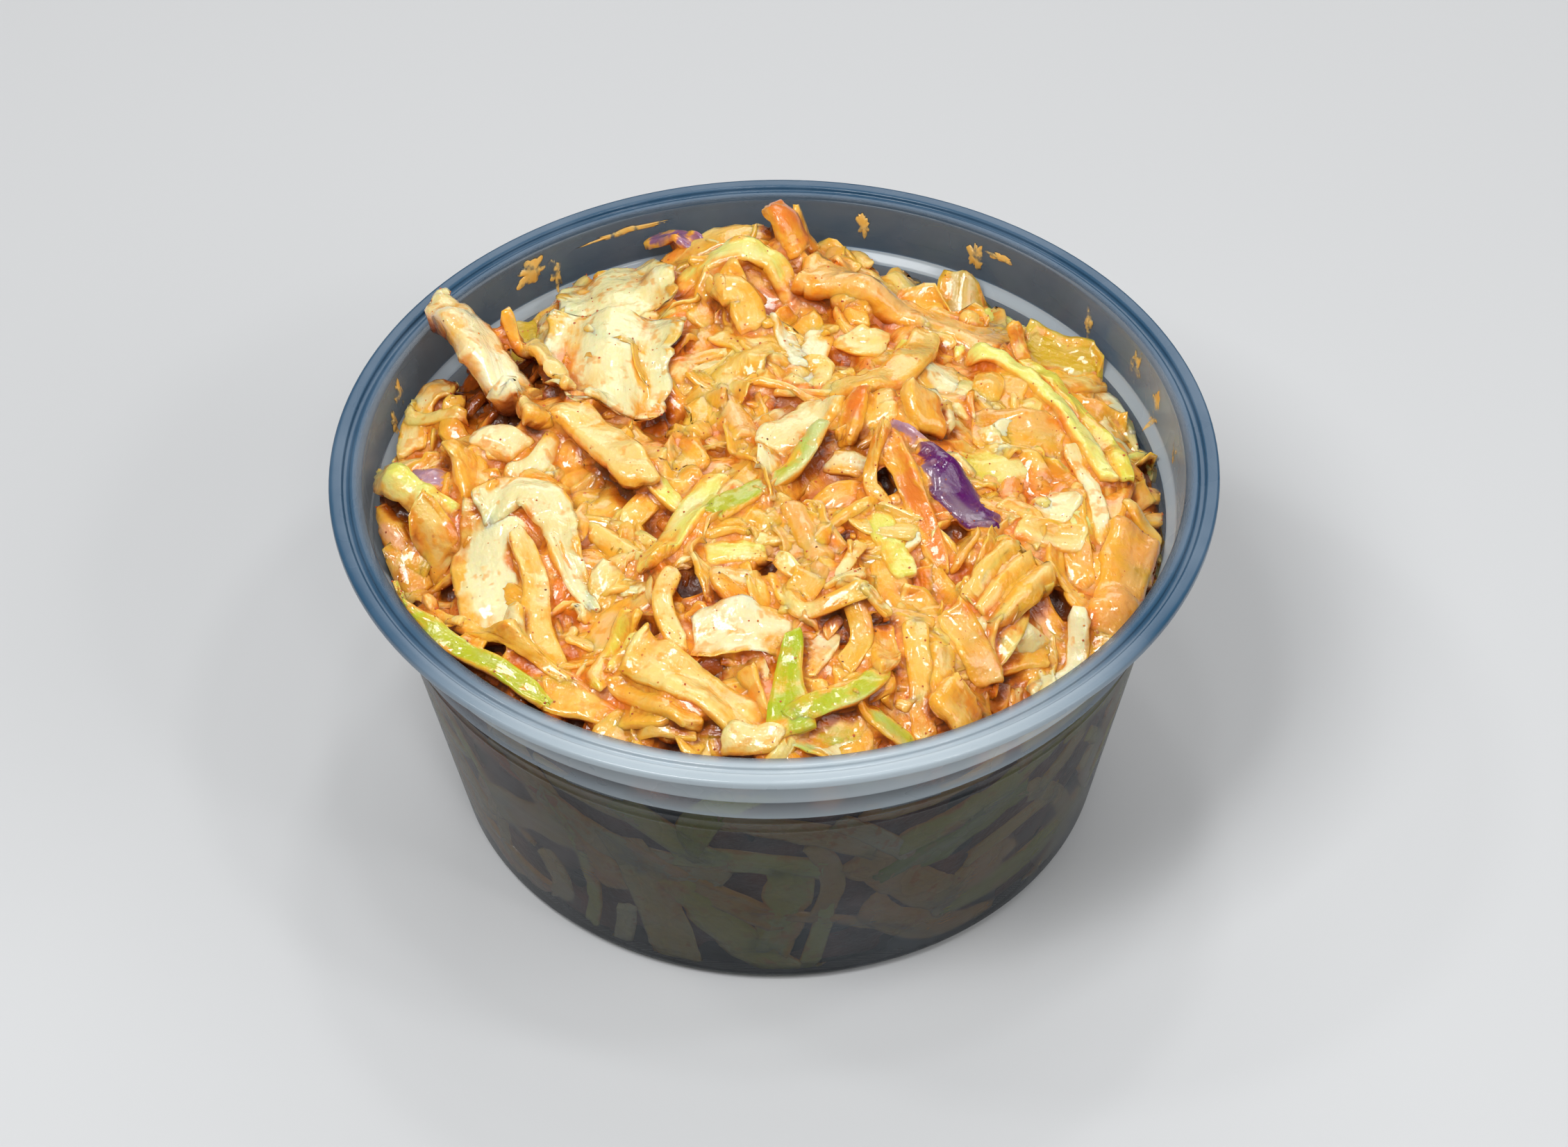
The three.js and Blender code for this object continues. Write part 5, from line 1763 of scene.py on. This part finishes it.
def tub_mesh():
    """The spun tub and its lugs, with how cloudy and pale they are as attributes."""
    spun_tub = bmesh.new()
    spun(spun_tub, tub_outline(), TUB_STEPS)
    lugs = bmesh.new()
    for i in range(LUG_COUNT):
        add_lug(lugs, LUG_FIRST_DEG + i * 360 / LUG_COUNT)
    bmesh.ops.recalc_face_normals(lugs, faces=lugs.faces)
    sharp = [edge for edge in lugs.edges if edge.calc_face_angle(0) > LUG_SHARP_ANGLE]
    bmesh.ops.bevel(
        lugs,
        geom=sharp,
        offset=LUG_ROUND * MM,
        affect="EDGES",
        segments=2,
        profile=0.5,
        material=-1,
    )
    mesh = joined("clear_tub", (mesh_from(spun_tub, "tub"), mesh_from(lugs, "lugs")))
    haze, frost_and_glare = haze_at(coordinates(mesh) / MM)
    write_attribute(mesh, "haze", "FLOAT", haze)
    write_attribute(mesh, "frost_and_glare", "FLOAT", frost_and_glare)
    mesh.shade_smooth()
    return mesh


# ------------------------------------------------------------------ dressing


def core_mesh():
    """What the shreds lie on: a lathe shape as wide as the tub with the heap's form on top."""
    edge = float(room_at(BAND_BOTTOM)) + CLEARANCE + CORE_REACH
    outline = [(0, FLOOR - CORE_REACH)]
    for height in np.linspace(FLOOR - CORE_REACH, CORE_SIDE_TOP, CORE_LEVELS):
        outline.append((float(room_at(max(height, FLOOR))) + CLEARANCE + CORE_REACH, height))
    for radius in np.linspace(edge, 0, CORE_RINGS):
        outline.append((radius, HEAP_EDGE))
    bm = bmesh.new()
    spun(bm, outline, CORE_STEPS)
    mesh = mesh_from(bm, "core")
    points = coordinates(mesh) / MM
    chance = random.Random(CORE_SEED)
    crumpled = CRUMPLE * lumps(points, CRUMPLE_SIZE, chance)
    on_top = points[:, 2] > HEAP_EDGE - 0.01
    top = np.maximum(core_height(points[:, 0], points[:, 1]) + crumpled, BAND_BOTTOM)
    points[:, 2] = np.where(on_top, top, points[:, 2])
    on_side = ~on_top & (points[:, 2] > FLOOR + 1)
    pocket = np.clip(lumps(points, POCKET_SIZE, chance) - POCKET_FROM, 0, 0.5) * 2
    radius = np.maximum(np.hypot(points[:, 0], points[:, 1]), TINY)
    points[:, :2] *= np.where(on_side, 1 - POCKET_DEPTH * pocket / radius, 1)[:, None]
    move_to(mesh, points)
    return mesh


def dressed_volume(meshes, settings):
    """One skin round all the meshes that fills the creases between them."""
    whole = joined("whole", meshes)
    blank = linked("whole", whole)
    for swell in (settings.fillet, -settings.fillet - settings.recess):
        remesh = blank.modifiers.new("remesh", "REMESH")
        remesh.mode = "VOXEL"
        remesh.voxel_size = settings.voxel
        displace = blank.modifiers.new("displace", "DISPLACE")
        displace.strength = swell
        displace.mid_level = 0
    smooth = blank.modifiers.new("smooth", "SMOOTH")
    smooth.factor = 0.5
    smooth.iterations = 2
    decimate = blank.modifiers.new("decimate", "DECIMATE")
    decimate.ratio = DRESSING_SHARE
    depsgraph = bpy.context.evaluated_depsgraph_get()
    mesh = bpy.data.meshes.new_from_object(blank.evaluated_get(depsgraph))
    bpy.data.objects.remove(blank)
    bpy.data.meshes.remove(whole)
    mesh.name = "dressing"
    return mesh


def well_up(mesh, heap, height):
    """Lets the dressing rise in patches over the shreds that wear most of it."""
    items = heap.items
    points = np.concatenate([item["points"][::WELLING_STRIDE] for item in items])
    wear = [item["welling"] * (item["coat"][::WELLING_STRIDE] - BARE_COAT) for item in items]
    wear = np.clip(np.concatenate(wear) / BARE_COAT, 0, 1)
    tree = KDTree(len(points))
    for index, point in enumerate(points):
        tree.insert(point, index)
    tree.balance()
    places = coordinates(mesh) / MM
    nearest = np.array([tree.find(place)[1] for place in places])
    normals = np.empty(len(places) * 3)
    mesh.vertex_normals.foreach_get("vector", normals)
    chance = random.Random(WELLING_SEED)
    patches = sum(share * lumps(places, size, chance) for share, size in WELLING_SIZES)
    share = np.clip((patches - WELLING_FROM) / WELLING_OVER, 0, 1)
    share = share * share * (3 - 2 * share)
    share *= wear[nearest]
    share *= np.clip((places[:, 2] - BAND_BOTTOM - WELLING_MARGIN) / WELLING_RISE, 0, 1)
    places += normals.reshape(-1, 3) * (share * height / MM)[:, None]
    move_to(mesh, keep_inside(places, CORE_REACH + CLEARANCE))
    mesh.update()


def thicken_film(shreds, dressing, recess):
    """Adds to the shreds' coat where they come up out of the dressing."""
    polygons = [tuple(face.vertices) for face in dressing.polygons]
    skin = BVHTree.FromPolygons([vert.co for vert in dressing.vertices], polygons)
    coat = shreds.attributes["coat"].data
    for vert, film in zip(shreds.vertices, coat):
        place, normal, _, _ = skin.find_nearest(vert.co)
        proud = (vert.co - place).dot(normal)
        share = min(1, max(0, proud / (JUNCTION * recess)))
        film.value += JUNCTION_COAT * (1 - share) ** 2


# ------------------------------------------------------------ specks, smears


def speck_mesh(settings):
    """Grains of ground pepper and paprika on whatever shows from above."""
    chance = random.Random(settings.seed + 1)
    points = np.concatenate([item["points"] for item in HEAP.items])
    tops = HEAP.ceiling[HEAP.ceiling_cell(points[:, 0], points[:, 1])]
    shown = points[tops - points[:, 2] < SPECK_DEPTH]
    ball = unit_ball(1)
    ball_points = coordinates(ball)
    places = []
    colours = []
    for _ in range(settings.speck_count):
        size = chance.uniform(*SPECK_SIZE) * chance.choice(SPECK_SIZE_STEPS)
        stretch = np.array([chance.uniform(*SPECK_STRETCH) for _ in range(3)])
        centre = shown[chance.randrange(len(shown))]
        places.append(centre + ball_points * stretch * size)
        tone = linear(chance.choices(SPECK_TONES, SPECK_SHARES)[0])
        colours.append(np.tile((*tone, 1), (len(ball_points), 1)))
    mesh = joined("pepper_specks", [ball] * settings.speck_count)
    move_to(mesh, np.concatenate(places))
    write_attribute(mesh, "flesh", "FLOAT_COLOR", np.concatenate(colours))
    mesh.shade_smooth()
    return mesh


def smear_mesh():
    """Films of dressing wiped on the inside of the wall above the heap."""
    chance = random.Random(SMEAR_SEED)
    radii, heights = np.array(list(reversed(inner_profile()))).T
    ball = unit_ball(SMEAR_SUBDIVISIONS)
    x, y, z = coordinates(ball).T
    turn = np.arctan2(z, x)
    places = []
    for angle_deg, height, around, up, thick in SMEARS:
        ragged = 1
        for share, cycles in SMEAR_RAGS:
            ragged = ragged + share * waves(turn, cycles, chance)
        level = height + z * up * ragged
        radius = np.interp(level, heights, radii) + SMEAR_GAP - np.maximum(0, -y) * thick
        swing = math.radians(angle_deg) + x * around * ragged / radius
        places.append(np.column_stack([radius * np.cos(swing), radius * np.sin(swing), level]))
    mesh = joined("wall_smears", [ball] * len(SMEARS))
    move_to(mesh, np.concatenate(places))
    mesh.shade_smooth()
    return mesh


# --------------------------------------------------------------------- stage


def aim(thing, place, target):
    """Puts a light at a place and turns it to the target."""
    thing.location = place
    thing.rotation_euler = (Vector(target) - Vector(place)).to_track_quat("-Z", "Y").to_euler()


def add_softbox(name, place, target, size, power):
    """A rectangular soft light."""
    light = bpy.data.lights.new(name, "AREA")
    light.shape = "RECTANGLE"
    light.size, light.size_y = size
    light.energy = power
    aim(linked(name, light), place, target)


def add_camera():
    """The camera, turned by its yaw, then down by its pitch, then by its roll."""
    camera = bpy.data.cameras.new("camera")
    camera.sensor_width = CAMERA_SENSOR
    camera.lens = CAMERA_LENS
    holder = linked("camera", camera)
    yaw = math.radians(CAMERA_YAW)
    pitch = math.radians(CAMERA_PITCH)
    roll = math.radians(CAMERA_ROLL)
    flat = math.cos(pitch)
    ahead = Vector((math.sin(yaw) * flat, math.cos(yaw) * flat, -math.sin(pitch)))
    level = ahead.cross(Vector((0, 0, 1))).normalized()
    upright = level.cross(ahead)
    right = math.cos(roll) * level + math.sin(roll) * upright
    up = math.cos(roll) * upright - math.sin(roll) * level
    turn = Matrix((right, up, -ahead)).transposed()
    holder.matrix_world = Matrix.Translation(CAMERA_PLACE) @ turn.to_4x4()
    bpy.context.scene.camera = holder


def add_floor(settings):
    """A plain round floor under the tub."""
    bm = bmesh.new()
    bmesh.ops.create_circle(bm, cap_ends=True, segments=FLOOR_SEGMENTS, radius=FLOOR_RADIUS)
    mesh = mesh_from(bm, "floor")
    mesh.materials.append(floor_finish("pale_floor", settings.floor_color))
    floor = linked("floor", mesh)


def add_daylight(strength):
    """An even white light from all round."""
    world = bpy.data.worlds.new("studio")
    world.use_nodes = True
    background = world.node_tree.nodes["Background"]
    background.inputs["Color"].default_value = (1, 1, 1, 1)
    background.inputs["Strength"].default_value = strength
    bpy.context.scene.world = world


# ------------------------------------------------------- settings and add-on


class TubSettings(bpy.types.PropertyGroup):
    """What a user would change of the clear tub."""

    rim_color: bpy.props.FloatVectorProperty(
        name="Rim colour",
        description="Colour of the cloudy plastic in the rim",
        default=linear("284f6c"),
        subtype="COLOR",
        min=0,
        max=1,
    )
    # Its blue-grey hue is the plastic's own; its near-black darkness is painted shade that keeps the
    # lower wall dim.
    wall_color: bpy.props.FloatVectorProperty(
        name="Wall colour",
        description="Colour of the cloudy plastic in the wall",
        default=linear("0e161c"),
        subtype="COLOR",
        min=0,
        max=1,
    )
    rim_haze: bpy.props.FloatProperty(
        name="Rim haze",
        description="How cloudy the rim is",
        default=0.94,
        subtype="FACTOR",
        min=0,
        max=1,
    )
    band_haze: bpy.props.FloatProperty(
        name="Band haze",
        description="How cloudy the band under the rim is",
        default=0.54,
        subtype="FACTOR",
        min=0,
        max=1,
    )
    wall_haze: bpy.props.FloatProperty(
        name="Wall haze",
        description="How cloudy the wall below the band is",
        default=0.72,
        subtype="FACTOR",
        min=0,
        max=1,
    )


class HeapSettings(bpy.types.PropertyGroup):
    """What a user would change of the coleslaw."""

    seed: bpy.props.IntProperty(
        name="Seed",
        description="Starts the random sizes and colours of the shreds",
        default=7,
        min=0,
    )
    bed_count: bpy.props.IntProperty(
        name="Bed shreds",
        description="Fine shreds on the core under the large ones",
        default=310,
        min=0,
    )
    gap_count: bpy.props.IntProperty(
        name="Gap shreds",
        description="Short shreds in the dips between the large ones",
        default=100,
        min=0,
    )
    curl_count: bpy.props.IntProperty(
        name="Curls",
        description="Thin curled strands that lie in the dips",
        default=14,
        min=0,
    )
    top_count: bpy.props.IntProperty(
        name="Top shreds",
        description="Short shreds strewn last, off the pieces that are kept clear",
        default=30,
        min=0,
    )
    wall_count: bpy.props.IntProperty(
        name="Wall shreds",
        description="Shreds that lie against the clear wall",
        default=110,
        min=0,
    )
    speck_count: bpy.props.IntProperty(
        name="Pepper specks",
        description="Grains of ground pepper on the heap",
        default=1500,
        min=0,
    )
    voxel: bpy.props.FloatProperty(
        name="Dressing detail",
        description="Size of the smallest detail of the dressing",
        default=0.56 * MM,
        unit="LENGTH",
        min=0.3 * MM,
    )
    fillet: bpy.props.FloatProperty(
        name="Dressing fillet",
        description="Half the width of the creases that dressing fills",
        default=0.38 * MM,
        unit="LENGTH",
        min=0,
    )
    recess: bpy.props.FloatProperty(
        name="Dressing recess",
        description="How far the dressing lies under the skin of the shreds",
        default=0.46 * MM,
        unit="LENGTH",
        min=0,
    )
    welling: bpy.props.FloatProperty(
        name="Dressing welling",
        description="How far the dressing rises in the patches where it covers the shreds",
        default=0.4 * MM,
        unit="LENGTH",
        min=0,
    )


class StageSettings(bpy.types.PropertyGroup):
    """What a user would change of the floor and the lights."""

    floor_color: bpy.props.FloatVectorProperty(
        name="Floor colour",
        description="Colour of the plain floor",
        default=(0.62, 0.63, 0.64),
        subtype="COLOR",
        min=0,
        max=1,
    )
    key_power: bpy.props.FloatProperty(
        name="Key light",
        description="Power of the large soft light",
        default=4.25,
        unit="POWER",
        min=0,
    )
    daylight: bpy.props.FloatProperty(
        name="Daylight",
        description="Strength of the even light from all round",
        default=0.12,
        min=0,
    )


class COLESLAW_OT_tub(bpy.types.Operator):
    """Makes the clear tub with its rim, band and lugs"""

    bl_idname = "coleslaw.tub"
    bl_label = "Make tub"

    def execute(self, context):
        material = plastic_finish("cloudy_clear_plastic", context.scene.coleslaw_tub)
        add_piece("clear_tub", tub_mesh(), material, "tub")
        return {"FINISHED"}


class COLESLAW_OT_shreds(bpy.types.Operator):
    """Makes all the shreds and leaves of one group"""

    bl_idname = "coleslaw.shreds"
    bl_label = "Make shreds"

    group: bpy.props.EnumProperty(
        name="Group",
        description="Which shreds to make",
        items=[(name, name.replace("_", " ").capitalize(), "") for name in GROUPS],
    )

    def execute(self, context):
        heap = settled_heap()
        kinds = GROUPS[self.group]
        items = [item for item in heap.items + heap.wall_items if item["kind"] in kinds]
        material = dressed_finish(self.group + "_finish", **GROUP_FINISH[self.group])
        add_piece(self.group, joined_shreds(self.group, items), material, "slaw")
        return {"FINISHED"}


class COLESLAW_OT_dressing(bpy.types.Operator):
    """Makes the dressing that fills the heap and the creases between the shreds"""

    bl_idname = "coleslaw.dressing"
    bl_label = "Make dressing"

    def execute(self, context):
        heap = settled_heap()
        shreds = [bpy.data.objects[name].data for name in GROUPS if name in bpy.data.objects]
        if not shreds:
            raise RuntimeError("The dressing needs the shreds to be made first")
        settings = context.scene.coleslaw_heap
        mesh = dressed_volume([core_mesh(), *shreds], settings)
        well_up(mesh, heap, settings.welling)
        openness = heap.openness(coordinates(mesh) / MM, DRESSING_BY_WALL)
        write_attribute(mesh, "openness", "FLOAT", openness)
        for shred in shreds:
            thicken_film(shred, mesh, settings.recess)
        mesh.shade_smooth()
        add_piece("dressing", mesh, dressing_finish("creamy_dressing"), "slaw")
        return {"FINISHED"}


class COLESLAW_OT_specks(bpy.types.Operator):
    """Makes the grains of pepper on the heap"""

    bl_idname = "coleslaw.specks"
    bl_label = "Make pepper specks"

    def execute(self, context):
        settled_heap()
        mesh = speck_mesh(context.scene.coleslaw_heap)
        add_piece("pepper_specks", mesh, pepper_finish("ground_pepper"), "slaw")
        return {"FINISHED"}


class COLESLAW_OT_smears(bpy.types.Operator):
    """Makes the smears of dressing on the wall above the heap"""

    bl_idname = "coleslaw.smears"
    bl_label = "Make smears"

    def execute(self, context):
        add_piece("wall_smears", smear_mesh(), smear_finish("thin_dressing"), "slaw")
        return {"FINISHED"}


class COLESLAW_OT_stage(bpy.types.Operator):
    """Makes the floor, the lights and the camera"""

    bl_idname = "coleslaw.stage"
    bl_label = "Make stage"

    def execute(self, context):
        settings = context.scene.coleslaw_stage
        add_camera()
        add_floor(settings)
        add_daylight(settings.daylight)
        for name, place, size, share in SOFTBOXES:
            add_softbox(name, place, HEAP_CENTRE, size, settings.key_power * share)
        context.scene.view_settings.view_transform = VIEW_TRANSFORM
        return {"FINISHED"}


class COLESLAW_PT_panel(bpy.types.Panel):
    """Lists the settings and the operators"""

    bl_idname = "COLESLAW_PT_panel"
    bl_label = "Coleslaw tub"
    bl_space_type = "VIEW_3D"
    bl_region_type = "UI"
    bl_category = "Coleslaw"

    def draw(self, context):
        layout = self.layout
        for name in SETTINGS:
            settings = getattr(context.scene, name)
            box = layout.box()
            for key in settings.bl_rna.properties.keys():
                if key not in ("rna_type", "name"):
                    box.prop(settings, key)
        layout.operator("coleslaw.tub")
        for group in GROUPS:
            layout.operator("coleslaw.shreds", text="Make " + group.replace("_", " ")).group = group
        layout.operator("coleslaw.dressing")
        layout.operator("coleslaw.specks")
        layout.operator("coleslaw.smears")
        layout.operator("coleslaw.stage")


SETTINGS = {
    "coleslaw_tub": TubSettings,
    "coleslaw_heap": HeapSettings,
    "coleslaw_stage": StageSettings,
}
CLASSES = (
    TubSettings,
    HeapSettings,
    StageSettings,
    COLESLAW_OT_tub,
    COLESLAW_OT_shreds,
    COLESLAW_OT_dressing,
    COLESLAW_OT_specks,
    COLESLAW_OT_smears,
    COLESLAW_OT_stage,
    COLESLAW_PT_panel,
)


def register():
    for kind in CLASSES:
        bpy.utils.register_class(kind)
    for name, group in SETTINGS.items():
        setattr(bpy.types.Scene, name, bpy.props.PointerProperty(type=group))


def unregister():
    for name in SETTINGS:
        delattr(bpy.types.Scene, name)
    for kind in reversed(CLASSES):
        bpy.utils.unregister_class(kind)


def main():
    register()
    bpy.ops.coleslaw.stage()
    bpy.ops.coleslaw.tub()
    for group in GROUPS:
        bpy.ops.coleslaw.shreds(group=group)
    bpy.ops.coleslaw.dressing()
    bpy.ops.coleslaw.specks()
    bpy.ops.coleslaw.smears()


if __name__ == "__main__":
    main()
